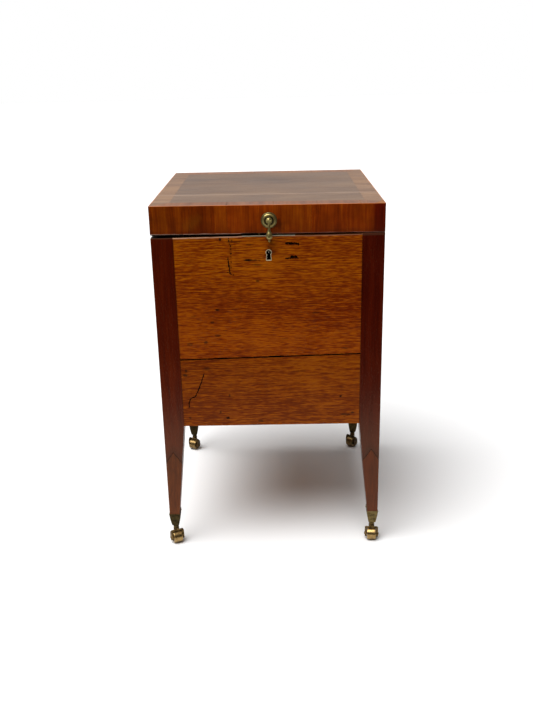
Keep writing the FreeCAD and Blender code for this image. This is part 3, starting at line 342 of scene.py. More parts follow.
def leg_marks(t, col, r, high):
    z = t.sep(t.P)[2]
    worn = (*srgb(134, 66, 28), 1)
    # both outer faces of a corner meet at its arris: worn where both are close
    s = t.sep(t.P)
    ax = t.math("SUBTRACT", 0.225, t.math("ABSOLUTE", s[0]))
    ay = t.math("SUBTRACT", 0.240, t.math("ABSOLUTE", s[1]))
    n = t.math("SUBTRACT", t.noise(t.P, 45, 4.0, 0.65), 0.5)
    d = t.math("ADD", t.math("MAXIMUM", ax, ay), t.math("MULTIPLY", n, 0.0022))
    m = t.smooth(d, 0.0004, 0.0016, 1.0, 0.0)
    col = t.mix(t.math("MULTIPLY", m, 0.4), col, worn)
    # the right-hand posts are darker; low down a painted reflection of the white floor makes them paler and greyer
    k = t.smooth(s[0], -0.05, 0.05, 1.0, 0.80)
    col = t.mix(1.0, col, t.comb(k, t.math("MULTIPLY", k, k), k), "MULTIPLY")
    floor_reflection = t.math("MULTIPLY", t.smooth(z, 0.34, 0.20), 0.30)
    col = t.mix(floor_reflection, col, (*srgb(84, 46, 30), 1))
    # glue line and stain along the let-in tips of the front legs
    across = t.math("ABSOLUTE", t.math("SUBTRACT", t.math("ABSOLUTE", s[0]), 0.2082))
    vee = t.math("MULTIPLY_ADD", across, -1.488, 0.2215)
    over = t.math("SUBTRACT", z, vee)
    front = t.smooth(s[1], -0.20, -0.21)
    stain = t.math("MULTIPLY", t.smooth(over, 0.030, 0.0005), t.smooth(over, -0.0016, -0.0004))
    col = t.mix(t.math("MULTIPLY", t.math("MULTIPLY", stain, front), 0.45), col, (*srgb(38, 10, 3), 1))
    glue = t.math("MULTIPLY", t.smooth(t.math("ABSOLUTE", over), 0.0017, 0.0005), front)
    col = t.mix(t.math("MULTIPLY", glue, 0.8), col, (*srgb(24, 8, 4), 1))
    # knocks near the feet
    low = t.smooth(z, 0.16, 0.08)
    k = t.smooth(t.noise(t.P, 130, 3.0, 0.6), 0.62, 0.72)
    col = t.mix(t.math("MULTIPLY", t.math("MULTIPLY", k, low), 0.5), col, (*srgb(40, 18, 9), 1))
    # the top end is rubbed dull, and darker as painted shade under the lid
    end = t.smooth(z, 0.6750, 0.6768)
    col = t.mix(t.math("MULTIPLY", end, 0.7), col, (*srgb(74, 34, 16), 1))
    # painted shade: the leg's top behind its front face, under the lid, is near-black
    painted_shade_behind = t.math("MULTIPLY", t.smooth(s[1], -0.2390, -0.2376), t.smooth(z, 0.6765, 0.6772))
    col = t.mix(painted_shade_behind, col, (*srgb(22, 8, 4), 1))
    return col, t.lerp(end, r, 0.7), high


leg_wood = wood("leg_mahogany", "z", srgb(60, 11, 2), srgb(78, 18, 2), srgb(94, 28, 4), srgb(38, 8, 2),
                [(2.5, 34, 2.0, 1.1), (6, 110, 2.0, 0.7), (14, 300, 2.0, 0.8)], fleck=(20, 520),
                fleck_cut=0.62, fleck_mix=0.4, pore_mix=0.25, blotch=0.12, rough=0.24, level=0.34, bump=0.15,
                warp=0.0015, marks=leg_marks)
tip_wood = wood("leg_tip_mahogany", "z", srgb(72, 26, 6), srgb(96, 41, 10), srgb(118, 58, 19),
                srgb(50, 20, 8), [(3, 40, 2.0, 1.2), (10, 140, 2.0, 1.0), (30, 330, 2.0, 1.3)], fleck=(34, 520),
                fleck_cut=0.58, fleck_mix=0.5, pore_mix=0.35, blotch=0.2, rough=0.32, level=0.26, bump=0.3,
                warp=0.0015, seed=2, marks=leg_marks)


def lid_front_marks(t, col, r, high):
    s = t.sep(t.P)
    x, z = s[0], s[2]
    # each leaf of veneer has a tone of its own
    xw = t.math("MULTIPLY_ADD", t.math("SUBTRACT", t.noise(t.P, 60, 2.0), 0.5), 0.004, x)
    tone = t.ramp(t.linear(xw, -0.225, 0.225), [
        (0.0, grey(0.70)), (0.17, grey(0.68)), (0.262, grey(0.84)), (0.331, grey(1.0)), (0.527, grey(0.79)),
        (0.687, (0.84, 0.76, 0.8)), (0.838, (0.75, 0.65, 0.7))], "CONSTANT")
    col = t.mix(1.0, col, tone, "MULTIPLY")
    last = t.smooth(xw, 0.1990, 0.2075)
    col = t.mix(last, col, t.mix(1.0, col, (0.46, 0.19, 0.30, 1), "MULTIPLY"))
    fog = t.linear(t.noise(t.P, 48, 3.0, 0.55), 0.30, 0.70, 0.82, 1.18)
    col = t.mix(1.0, col, t.comb(fog, fog, fog), "MULTIPLY")
    # a cloud in the left leaf, then the worn arris on top, painted light as a highlight, and the rubbed lower edge:
    # darker, with a pale line along its arris that is a painted reflection of the floor, stronger at the left
    v = spot(t, (-148, 706), (34, 20), 0.5, 40, 0.0)
    col = t.mix(t.math("MULTIPLY", v, 0.35), col, (*srgb(134, 74, 12), 1))
    n = t.math("SUBTRACT", t.noise(t.P, 38, 4.0, 0.6), 0.5)
    rise = t.math("MAXIMUM", t.math("MULTIPLY_ADD", x, -0.00616, 0.00041), t.math("MULTIPLY_ADD", x, -0.0045, 0.0003))
    zz = t.math("SUBTRACT", t.math("MULTIPLY_ADD", n, 0.003, z), rise)
    col = t.mix(t.math("MULTIPLY", t.smooth(zz, 0.7360, 0.7373), 0.85), col, (*srgb(186, 88, 22), 1))
    col = t.mix(t.math("MULTIPLY", t.smooth(zz, 0.692, 0.685), 0.3), col, (*srgb(70, 22, 4), 1))
    edge = t.math("MULTIPLY", t.smooth(zz, 0.6842, 0.6833), t.smooth(x, -0.02, -0.06, 0.22, 0.80))
    col = t.mix(edge, col, (*srgb(188, 150, 132), 1))
    # a painted shadow of the pull, to its right and below it
    v = spot(t, (22, 703), (16, 14), 0.6, 70, 0.0)
    col = t.mix(t.math("MULTIPLY", v, 0.6), col, (*srgb(52, 18, 4), 1))
    return col, r, high


UPRIGHT = [(2.0, 24, 1.0, 0.6), (4, 70, 2.0, 0.8), (8, 190, 2.0, 0.8), (22, 420, 1.0, 0.6)]
band_front_wood = wood("crossband_front", "z", srgb(98, 28, 2), srgb(144, 55, 3), srgb(176, 82, 6),
                       srgb(72, 22, 2), UPRIGHT, fleck=(12, 420), fleck_cut=0.62, fleck_mix=0.4, pore_mix=0.25,
                       blotch=0.20, rough=0.30, bump=0.2, warp=0.0012, marks=lid_front_marks,
                       tint=(1.0, 0.75, 0.42))


def top_marks(t, col, r, high):
    s = t.sep(t.P)
    x, y, z = s
    n = t.math("SUBTRACT", t.noise(t.P, 30, 4.0, 0.6), 0.5)
    # outer arris rubbed light, and painted light as a highlight
    ax = t.math("SUBTRACT", 0.225, t.math("ABSOLUTE", x))
    ay = t.math("SUBTRACT", 0.240, t.math("ABSOLUTE", y))
    d = t.math("MULTIPLY_ADD", n, 0.004, t.math("MINIMUM", ax, ay))
    m = t.smooth(d, 0.0004, 0.0026, 1.0, 0.0)
    col = t.mix(t.math("MULTIPLY", m, 0.85), col, (*srgb(206, 122, 64), 1))
    # the band along the front is redder
    k = t.smooth(y, -0.200, -0.208)
    col = t.mix(k, col, t.mix(1.0, col, (0.84, 0.74, 0.62, 1), "MULTIPLY"))
    # the ridge over the boards' joint is rubbed through too, and painted pale as a highlight along it
    yy = t.math("MULTIPLY_ADD", n, 0.006, t.math("ADD", y, t.math("MULTIPLY", x, -0.004)))
    d = t.math("ABSOLUTE", t.math("ADD", yy, 0.112))
    m = t.smooth(d, 0.001, 0.006, 1.0, 0.0)
    col = t.mix(t.math("MULTIPLY", m, 0.32), col, (*srgb(176, 150, 130), 1))
    return col, r, high


def side_band_marks(t, col, r, high):
    s = t.sep(t.P)
    n = t.math("SUBTRACT", t.noise(t.P, 38, 4.0, 0.6), 0.5)
    zz = t.math("MULTIPLY_ADD", n, 0.004, s[2])
    # the top arris rubbed light and painted light as a highlight; the lower edge darker
    col = t.mix(t.math("MULTIPLY", t.smooth(zz, 0.7345, 0.7372), 0.75), col, (*srgb(206, 128, 62), 1))
    col = t.mix(t.math("MULTIPLY", t.smooth(zz, 0.688, 0.684), 0.35), col, (*srgb(60, 20, 6), 1))
    leaf = t.noise(t.comb(0.0, t.math("SNAP", s[1], 0.083), 0.0), 91.0, 0.0)
    col = t.mix(1.0, col, t.ramp(leaf, [(0.25, grey(0.62)), (0.75, grey(1.0))]), "MULTIPLY")
    return col, r, high


FIELD = [(1.4, 6, 1.0, 1.1), (3, 22, 2.0, 0.6), (7, 80, 2.0, 0.5), (14, 260, 2.0, 0.7)]
field_wood = wood("lid_field", "x", srgb(78, 52, 36), srgb(108, 79, 57), srgb(132, 103, 78), srgb(46, 28, 18),
                  FIELD, sway=(0, 1, 0), fleck=(14, 300), fleck_cut=0.61, fleck_mix=0.4, pore_mix=0.3, blotch=0.18, rough=0.33,
                  level=0.4, bump=0.18, warp=0.002, marks=top_marks, tint=(1.0, 0.92, 0.80))
band_x_wood = wood("crossband_top_ends", "x", srgb(94, 59, 34), srgb(128, 91, 60), srgb(150, 114, 82),
                   srgb(70, 34, 15), UPRIGHT, fleck=(14, 420), fleck_cut=0.62, fleck_mix=0.35, pore_mix=0.25,
                   blotch=0.18, rough=0.33, level=0.4, bump=0.18, warp=0.0015, seed=4, marks=top_marks,
                   tint=(1.0, 0.92, 0.80))
band_y_wood = wood("crossband_top_long", "y", srgb(92, 50, 25), srgb(130, 78, 42), srgb(154, 102, 62),
                   srgb(60, 28, 12), UPRIGHT, fleck=(14, 420), fleck_cut=0.62, fleck_mix=0.35, pore_mix=0.25,
                   blotch=0.18, rough=0.33, level=0.4, bump=0.18, warp=0.0015, seed=6, marks=top_marks,
                   tint=(1.0, 0.90, 0.74))
band_side_wood = wood("crossband_side", "z", srgb(98, 32, 3), srgb(144, 60, 5), srgb(178, 86, 11),
                      srgb(66, 22, 3), UPRIGHT, fleck=(12, 420), fleck_cut=0.62, fleck_mix=0.4, pore_mix=0.25,
                      blotch=0.30, rough=0.29, bump=0.2, warp=0.0012, seed=7, marks=side_band_marks)


def inner_marks(t, col, r, high):
    stain = t.smooth(t.noise(t.P, 14, 4.0, 0.6), 0.52, 0.68)
    col = t.mix(t.math("MULTIPLY", stain, 0.35), col, (*srgb(52, 30, 18), 1))
    return col, r, high


def rail_stain_and_gap_shade(t, col, r, high):
    col, r, high = inner_marks(t, col, r, high)
    y = t.sep(t.P)[1]
    # painted shade: the rails' front faces and ends, seen in the gap below the lid's veneer, are painted near-black
    front = t.smooth(y, -0.2384, -0.2388)
    ends = t.smooth(t.math("ABSOLUTE", t.sep(t.P)[0]), 0.2234, 0.2238)
    return t.mix(t.math("MAXIMUM", front, ends), col, (*srgb(16, 9, 6), 1)), r, high


PLAIN = [(2.5, 30, 2.0, 1.3), (8, 90, 2.0, 1.0), (20, 300, 2.0, 1.4)]


def inner_wood(name, along, seed, tones=((108, 68, 38), (150, 102, 62), (176, 128, 84)), blotch=0.25):
    return wood(name, along, srgb(*tones[0]), srgb(*tones[1]), srgb(*tones[2]), srgb(74, 44, 22), PLAIN,
                rough=0.6, bump=0.35, blotch=blotch, marks=rail_stain_and_gap_shade, seed=seed)


DARKER = ((88, 46, 21), (124, 70, 35), (148, 92, 50))
inner_x = inner_wood("inner_wood_x", "x", 11)
inner_y = inner_wood("inner_wood_y", "y", 12)
floor_inner = inner_wood("inner_floor", "y", 13, ((100, 64, 38), (142, 98, 62), (166, 122, 82)), 0.4)
slat_x = inner_wood("slat_x", "x", 14, DARKER)
slat_y = inner_wood("slat_y", "y", 15, DARKER)
cleat_wood = inner_wood("cleat_wood", "z", 16, DARKER)
lid_board_wood = inner_wood("lid_board", "x", 17, ((100, 58, 32), (140, 90, 54), (164, 114, 72)), 0.3)


def grime_material():
    m, t = material("old_dirt")
    n = t.noise(t.P, 420, 4.0, 0.6)
    t.put(t.bsdf.inputs["Base Color"], t.ramp(n, [(0.3, srgb(8, 4, 2)), (0.75, srgb(28, 13, 6))]))
    t.put(t.bsdf.inputs["Roughness"], t.linear(n, 0.3, 0.7, 0.95, 0.7))
    b = t.add("ShaderNodeBump")
    b.inputs["Strength"].default_value = 0.5
    b.inputs["Distance"].default_value = 0.0003
    t.put(b.inputs["Height"], n)
    t.put(t.bsdf.inputs["Normal"], b.outputs[0])
    t.bsdf.inputs["Specular IOR Level"].default_value = 0.05
    return m


dirt = grime_material()


# ---------------------------------------------------------------- metal
def brass(name, bright, dull, deep, rough=0.34, age=0.5, scale=90.0, bump=0.2, point=None, metal=1.0, shade=False,
          painted_shade_behind=None, below=None, rings=()):
    """Handled old brass: rubbed high spots, a dull skin between and dirt in the hollows. With shade, the pieces at the
    left and at the back are darker."""
    m, t = material(name)
    big = t.noise(t.P, scale, 4.0, 0.6)
    fine = t.noise(t.P, scale * 7, 4.0, 0.65)
    skin = t.math("MULTIPLY_ADD", t.math("SUBTRACT", fine, 0.5), 0.9, big)
    if point:
        p = t.add("ShaderNodeNewGeometry").outputs["Pointiness"]
        high = t.smooth(p, point[1], point[2])
        low = t.smooth(p, point[0], point[1] - 0.002, 1.0, 0.0)
        skin = t.math("MULTIPLY_ADD", high, -0.45, skin)
        skin = t.math("MULTIPLY_ADD", low, 0.55, skin)
    k = t.smooth(skin, 0.62 - age * 0.4, 0.92 - age * 0.4)
    col = t.mix(k, (*bright, 1), (*dull, 1))
    crust = t.smooth(skin, 0.80 - age * 0.12, 1.0 - age * 0.08)
    col = t.mix(crust, col, (*deep, 1))
    if shade:
        s = t.sep(t.P)
        left = t.smooth(s[0], 0.05, -0.05)
        back = t.smooth(s[1], -0.05, 0.05)
        cups = t.smooth(s[2], 0.034, 0.044, 0.0, 1.0)
        dark = t.math("MULTIPLY_ADD", t.math("MULTIPLY", left, cups), -0.66, 1.0)
        dark = t.math("MULTIPLY", dark, t.math("MULTIPLY_ADD", back, -0.40, 1.0))
        col = t.mix(1.0, col, t.comb(dark, dark, dark), "MULTIPLY")
    if painted_shade_behind:
        # painted shade: darker behind this distance from the front, in the shade of the lid
        y = t.sep(t.P)[1]
        col = t.mix(t.smooth(y, painted_shade_behind, painted_shade_behind + 0.0022), col, t.mix(0.85, col, (*deep, 1)))
    if below:
        # and brown along its lower edge
        z = t.sep(t.P)[2]
        col = t.mix(t.smooth(z, below, below - 0.0005), col, (*srgb(104, 56, 22), 1))
    for radius, width, amount in rings:
        # dark rings round the pull's stud: dirt, deepened as painted shade in the recess; where amount is negative a
        # rub, painted light as a highlight
        s = t.sep(t.P)
        flat = t.comb(t.math("SUBTRACT", s[0], 0.0034), 0.0, t.math("SUBTRACT", s[2], 0.7084))
        off = t.math("ABSOLUTE", t.math("SUBTRACT", t.vmath("LENGTH", flat), radius))
        off = t.math("MULTIPLY_ADD", t.math("SUBTRACT", big, 0.5), 0.0012, off)
        k2 = t.math("MULTIPLY", t.smooth(off, width, width * 0.3), t.smooth(s[1], -0.2452, -0.2446))
        col = t.mix(t.math("MULTIPLY", k2, abs(amount)), col, (*(deep if amount > 0 else bright), 1))
    t.put(t.bsdf.inputs["Base Color"], col)
    t.put(t.bsdf.inputs["Metallic"], t.math("MULTIPLY", t.linear(crust, 0.0, 1.0, 1.0, 0.25), metal))
    r = t.math("MULTIPLY_ADD", k, 0.16, rough)
    r = t.math("MULTIPLY_ADD", crust, 0.22, r)
    r = t.math("MULTIPLY_ADD", t.math("SUBTRACT", fine, 0.5), 0.14, r)
    t.put(t.bsdf.inputs["Roughness"], r)
    b = t.add("ShaderNodeBump")
    b.inputs["Strength"].default_value = bump
    b.inputs["Distance"].default_value = 0.0002
    t.put(b.inputs["Height"], t.math("MULTIPLY_ADD", skin, -1.0, 1.0))
    t.put(t.bsdf.inputs["Normal"], b.outputs[0])
    return m


# rings: dark in the stud's recess and at the rim, dirt with painted shade; pale between, rubbed brass with a painted
# highlight
cast_brass = brass("cast_brass", srgb(172, 156, 98), srgb(98, 85, 44), srgb(26, 20, 10), 0.36, 0.50, 150,
                   0.25, (0.40, 0.50, 0.56), metal=0.85,
                   rings=((0.0076, 0.0020, 0.85), (0.0150, 0.0022, 0.45), (0.0112, 0.0016, -0.5)))
cup_brass = brass("cup_brass", srgb(120, 102, 64), srgb(76, 63, 38), srgb(26, 20, 12), 0.50, 0.60, 120,
                  0.3, (0.40, 0.50, 0.57), shade=True)
fork_brass = brass("caster_brass", srgb(120, 96, 58), srgb(56, 42, 23), srgb(18, 13, 7), 0.36, 0.68, 130,
                   0.28, (0.40, 0.50, 0.56), shade=True)
wheel_brass = brass("wheel_brass", srgb(158, 130, 84), srgb(112, 88, 52), srgb(46, 34, 19), 0.28, 0.42, 110,
                    0.3, (0.40, 0.50, 0.57), shade=True)
sheet_brass = brass("sheet_brass", srgb(190, 168, 122), srgb(134, 114, 78), srgb(56, 46, 28), 0.40, 0.45, 130,
                    0.2, metal=0.75)
# pale tones: painted light, so the plate's front edge shows bright in the shade of the lid
selvage_brass = brass("selvage_brass", srgb(236, 220, 190), srgb(206, 184, 148), srgb(40, 28, 16), 0.40, 0.20, 130,
                      0.2, metal=0.35, painted_shade_behind=-0.2389, below=0.6784)
case_brass = brass("lock_case_brass", srgb(96, 80, 50), srgb(52, 42, 26), srgb(20, 15, 10), 0.50, 0.65, 130, 0.2)
ring_brass = brass("escutcheon_brass", srgb(222, 204, 166), srgb(186, 166, 128), srgb(88, 70, 44), 0.42, 0.32,
                   240, 0.2, metal=0.35)
screw_brass = brass("screw_brass", srgb(176, 150, 98), srgb(116, 95, 56), srgb(42, 32, 19), 0.38, 0.5, 240, 0.2)
pin_steel = brass("pin_steel", srgb(232, 228, 220), srgb(190, 184, 174), srgb(90, 76, 60), 0.36, 0.26, 200, 0.2,
                  metal=0.4)


# ---------------------------------------------------------------- mesh helpers, in mm
def cad(name):
    bm = bmesh.new()
    bm.from_mesh(N[name].data)
    bmesh.ops.scale(bm, vec=(1000.0,) * 3, verts=bm.verts)
    bmesh.ops.remove_doubles(bm, verts=bm.verts, dist=0.002)
    for f in bm.faces:
        f.material_index = 0
    return bm


def flatten(bm, angle=0.4):
    bmesh.ops.dissolve_limit(bm, angle_limit=math.radians(angle), verts=bm.verts, edges=bm.edges,
                             use_dissolve_boundaries=False)
    return bm


def ease(bm, width, pick=None, segments=2, low=28.0):
    """Rounds the convex edges that pick(midpoint, direction) accepts."""
    bm.normal_update()
    chosen = []
    for e in bm.edges:
        if len(e.link_faces) != 2 or not e.is_convex:
            continue
        if e.calc_face_angle(0.0) < math.radians(low):
            continue
        a, b = e.verts[0].co, e.verts[1].co
        if pick is None or pick((a + b) / 2, (b - a).normalized()):
            chosen.append(e)
    if chosen:
        bmesh.ops.bevel(bm, geom=chosen, offset=width, offset_type="OFFSET", segments=segments, profile=0.5,
                        affect="EDGES", clamp_overlap=False)
    return bm


def carve(bm, cutter, op="DIFFERENCE", index=1):
    """bm less cutter; the cut faces get the given material index."""
    for f in cutter.faces:
        f.material_index = index
    made = []
    for part in (bm, cutter):
        bmesh.ops.recalc_face_normals(part, faces=part.faces)
        me = bpy.data.meshes.new("tmp_carve")
        part.to_mesh(me)
        part.free()
        me.materials.append(leg_wood)
        me.materials.append(dirt)
        o = bpy.data.objects.new("tmp_carve", me)
        scene.collection.objects.link(o)
        made.append(o)
    mod = made[0].modifiers.new("carve", "BOOLEAN")
    mod.operation = op
    mod.solver = "EXACT"
    mod.use_self = True
    mod.material_mode = "TRANSFER"
    mod.object = made[1]
    dg = bpy.context.evaluated_depsgraph_get()
    me = bpy.data.meshes.new_from_object(made[0].evaluated_get(dg))
    out = bmesh.new()
    out.from_mesh(me)
    for o in made:
        old = o.data
        bpy.data.objects.remove(o)
        bpy.data.meshes.remove(old)
    bpy.data.meshes.remove(me)
    return out


def put(bm, name, mats, nodes=(), body=None, angle=22.0):
    """Makes the piece: scales to metres, marks sharp edges, dresses it and rides it on its body."""
    bmesh.ops.recalc_face_normals(bm, faces=bm.faces)
    for f in bm.faces:
        f.smooth = f.calc_area() < 250.0
    bmesh.ops.scale(bm, vec=(0.001,) * 3, verts=bm.verts)
    bm.normal_update()
    for e in bm.edges:
        if len(e.link_faces) == 2 and e.calc_face_angle(0.0) > math.radians(angle):
            e.smooth = False
    me = bpy.data.meshes.new(name)
    bm.to_mesh(me)
    bm.free()
    for m in mats if isinstance(mats, (list, tuple)) else [mats]:
        me.materials.append(m)
    o = bpy.data.objects.new(name, me)
    scene.collection.objects.link(o)
    nodes = [nodes] if isinstance(nodes, str) else list(nodes)
    if nodes:
        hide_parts(*nodes)
    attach(o, body or BODY[nodes[0]])
    return o


def paint(node, mat):
    me = N[node].data
    me.materials.clear()
    me.materials.append(mat)


def join(*parts):
    out = parts[0]
    for p in parts[1:]:
        me = bpy.data.meshes.new("tmp_join")
        p.to_mesh(me)
        p.free()
        out.from_mesh(me)
        bpy.data.meshes.remove(me)
    return out


def shell(rings, closed=True):
    """A closed tube through rings of equal length, capped at both ends."""
    bm = bmesh.new()
    vs = [[bm.verts.new(p) for p in ring] for ring in rings]
    n = len(vs[0])
    for a, b in zip(vs, vs[1:]):
        for i in range(n):
            bm.faces.new((a[i], a[(i + 1) % n], b[(i + 1) % n], b[i]))
    bm.faces.new(list(reversed(vs[0])))
    bm.faces.new(vs[-1])
    return bm


def crack(points, width, depth, y=-239.7, step=2.0, wander=0.35, seed=1):
    """A V-shaped groove in the front along (x, z) points, thinning at both ends."""
    rnd = random.Random(seed)
    path = []
    for (x0, z0), (x1, z1) in zip(points, points[1:]):
        n = max(1, int(math.hypot(x1 - x0, z1 - z0) / step))
        for i in range(n):
            path.append((x0 + (x1 - x0) * i / n, z0 + (z1 - z0) * i / n))
    path.append(points[-1])
    path = [(x + rnd.uniform(-wander, wander), z + rnd.uniform(-wander, wander) * 0.4) for x, z in path]
    rings = []
    for i, (x, z) in enumerate(path):
        x0, z0 = path[max(0, i - 1)]
        x1, z1 = path[min(len(path) - 1, i + 1)]
        d = Vector((x1 - x0, 0, z1 - z0)).normalized()
        side = Vector((-d.z, 0, d.x))
        end = min(1.0, min(i, len(path) - 1 - i) / 3.0 + 0.25)
        w = width * end * rnd.uniform(0.6, 1.25)
        k = depth * end * rnd.uniform(0.8, 1.1)
        c = Vector((x, y, z))
        rings.append([c - side * w / 2 * 1.5 + Vector((0, -0.5, 0)), c + Vector((0, k, 0)),
                      c + side * w / 2 * 1.5 + Vector((0, -0.5, 0))])
    return shell(rings)


def gouge(x, z, rx, rz, depth, y=-239.7, seed=1):
    """A small ragged pit in the front."""
    rnd = random.Random(seed)
    n = 9
    rim, mid = [], []
    for i in range(n):
        a = 2 * math.pi * i / n
        k = rnd.uniform(0.72, 1.15)
        rim.append(Vector((x + rx * k * math.cos(a), y, z + rz * k * math.sin(a))))
        k *= rnd.uniform(0.4, 0.75)
        mid.append(Vector((x + rx * k * math.cos(a), y + depth * rnd.uniform(0.7, 1.0), z + rz * k * math.sin(a))))
    lift = [p + Vector(((p.x - x) * 0.1, -0.6, (p.z - z) * 0.1)) for p in rim]
    return shell([lift, rim, mid])


def ragged(x0, x1, z_at, amount, sign, y0, y1, step=2.2, seed=1):
    """A strip that eats unevenly into an edge running along X. sign +1 eats upwards."""
    rnd = random.Random(seed)
    n = int((x1 - x0) / step)
    rings = []
    for i in range(n + 1):
        x = x0 + (x1 - x0) * i / n
        z = z_at(x)
        big = max(0.0, noise.noise(Vector((x * 0.045, seed * 7.1, 0.3)))) * 1.6
        e = amount * (0.15 + 0.35 * rnd.random() + big)
        lo, hi = (z - 2.0, z + e) if sign > 0 else (z - e, z + 2.0)
        rings.append([Vector((x, y0, lo)), Vector((x, y1, lo)), Vector((x, y1, hi)), Vector((x, y0, hi))])
    return shell(rings)


def lathe(profile, segments=96, close=True):
    """A turned closed solid about Z from (radius, height) points, radius 0 at both ends or a ring."""
    bm = bmesh.new()
    rows = []
    for r, z in profile:
        if r < 1e-6:
            rows.append([bm.verts.new((0, 0, z))])
        else:
            rows.append([bm.verts.new((r * math.cos(2 * math.pi * i / segments),
                                       r * math.sin(2 * math.pi * i / segments), z)) for i in range(segments)])
    pairs = list(zip(rows, rows[1:]))
    if close and len(rows[0]) > 1:
        pairs.append((rows[-1], rows[0]))
    for a, b in pairs:
        for i in range(segments):
            j = (i + 1) % segments
            if len(a) == 1 and len(b) == 1:
                continue
            if len(a) == 1:
                bm.faces.new((a[0], b[j], b[i]))
            elif len(b) == 1:
                bm.faces.new((a[i], a[j], b[0]))
            else:
                bm.faces.new((a[i], a[j], b[j], b[i]))
    return bm


def smooth_profile(points, steps=5):
    """Catmull-Rom through the points; a point given twice keeps its corner."""
    out = []
    pts = [Vector((p[0], p[1])) for p in points]
    for i in range(len(pts) - 1):
        p1, p2 = pts[i], pts[i + 1]
        if (p2 - p1).length < 1e-6:
            continue
        p0 = pts[i - 1] if i > 0 and (pts[i - 1] - p1).length > 1e-6 else p1 * 2 - p2
        p3 = pts[i + 2] if i + 2 < len(pts) and (pts[i + 2] - p2).length > 1e-6 else p2 * 2 - p1
        if i > 0 and (pts[i - 1] - p1).length <= 1e-6:
            p0 = p1 * 2 - p2
        for k in range(steps):
            t = k / steps
            q = 0.5 * ((2 * p1) + (p2 - p0) * t + (2 * p0 - 5 * p1 + 4 * p2 - p3) * t * t
                       + (3 * p1 - p0 - 3 * p2 + p3) * t ** 3)
            out.append((max(0.0, q.x), q.y))
    out.append((pts[-1].x, pts[-1].y))
    return out


def turned_to(bm, rot, at):
    bmesh.ops.transform(bm, matrix=Matrix.Translation(Vector(at)) @ rot.to_4x4(), verts=bm.verts)
    return bm


def cast(bm, voxel, smooths=4, factor=0.5, rough=0.0, seed=1, ratio=None):
    """Remeshes a metal piece, softens its edges as a casting has them, and adds slight unevenness."""
    me = bpy.data.meshes.new("tmp_cast")
    bmesh.ops.recalc_face_normals(bm, faces=bm.faces)
    bm.to_mesh(me)
    bm.free()
    o = bpy.data.objects.new("tmp_cast", me)
    scene.collection.objects.link(o)
    r = o.modifiers.new("r", "REMESH")
    r.mode = "VOXEL"
    r.voxel_size = voxel
    r.adaptivity = 0.0
    s = o.modifiers.new("s", "SMOOTH")
    s.factor = factor
    s.iterations = smooths
    if ratio:
        d = o.modifiers.new("d", "DECIMATE")
        d.ratio = ratio
    dg = bpy.context.evaluated_depsgraph_get()
    res = bpy.data.meshes.new_from_object(o.evaluated_get(dg))
    out = bmesh.new()
    out.from_mesh(res)
    bpy.data.objects.remove(o)
    bpy.data.meshes.remove(me)
    bpy.data.meshes.remove(res)
    if rough:
        out.normal_update()
        for v in out.verts:
            k = noise.noise(v.co * 0.45 + Vector((seed * 3.7, 0, 0))) + 0.5 * noise.noise(v.co * 1.3)
            v.co += v.normal * rough * k
    return out


# ---------------------------------------------------------------- legs
SIDES = {"front_left": (-1, -1), "front_right": (1, -1), "back_left": (-1, 1), "back_right": (1, 1)}


def leg_corner(sx, sy, width_ok=0.6):
    def pick(p, d):
        if abs(d.z) < 0.6:
            return False
        w = 43.0 if p.z >= 281.5 else 22.0 + 21.0 * (p.z - 73.0) / 208.5
        u, v = 225.0 - sx * p.x, 240.0 - sy * p.y
        return min(abs(u), abs(u - w)) < width_ok and min(abs(v), abs(v - w)) < width_ok and p.z > 73
    return pick


for key, (sx, sy) in SIDES.items():
    bm = ease(flatten(cad("leg_" + key)), 0.9, leg_corner(sx, sy))
    bm = ease(bm, 0.35, lambda p, d: abs(d.z) < 0.9 and (p.z > 670 or 190 < p.z < 224), 1)
    put(bm, "leg_%s_wood" % key, leg_wood, "leg_" + key)
    if sy < 0:
        bm = ease(flatten(cad("leg_tip_" + key)), 0.9, leg_corner(sx, sy))
        bm = ease(bm, 0.35, lambda p, d: abs(d.z) < 0.9 and 190 < p.z < 224, 1)
        put(bm, "leg_tip_%s_wood" % key, tip_wood, "leg_tip_" + key)

# ---------------------------------------------------------------- front boards
SLOPE = (435.7 - 428.6) / 364.0


def joint_z(x):
    return 428.6 + (x + 182.0) * SLOPE


bm = flatten(cad("front_upper_board"))
bm = ease(bm, 1.5, lambda p, d: abs(p.y + 239.7) < 0.05 and p.z > 674 and abs(d.x) > 0.9, 3)
bm = ease(bm, 0.4, lambda p, d: abs(p.y + 239.7) < 0.05 and abs(abs(p.x) - 182) < 0.1 and abs(d.z) > 0.9, 1)
tools = [ragged(-181.5, 181.5, lambda x: joint_z(x) + 1.0, 1.0, 1, -241, -231.5, seed=4)]
tools.append(crack([(-77.4, 640.0), (-77.1, 630.0), (-75.8, 621.0), (-74.6, 606.5), (-69.7, 601.9)], 2.2, 2.0, seed=5))
for i, (x0, z0, rx, rz) in enumerate([(-74.8, 675.2, 1.0, 1.4), (-74.6, 670.5, 1.2, 2.2), (-68.6, 670.8, 1.1, 2.0),
                                      (-73.4, 663.6, 0.8, 1.6), (-71.4, 659.6, 1.3, 1.9), (-71.2, 653.8, 0.9, 2.0),
                                      (-71.0, 645.2, 1.5, 2.3), (-71.4, 638.5, 0.7, 1.6), (-71.6, 629.0, 1.0, 3.2),
                                      (-72.0, 617.6, 1.1, 3.0), (-68.3, 603.0, 1.6, 1.4), (-78.5, 608.5, 2.4, 0.8)]):
    tools.append(gouge(x0, z0, rx, rz, 1.6, seed=30 + i))
tools.append(gouge(-91.2, 673.0, 1.5, 1.8, 1.2, seed=42))
rnd = random.Random(12)
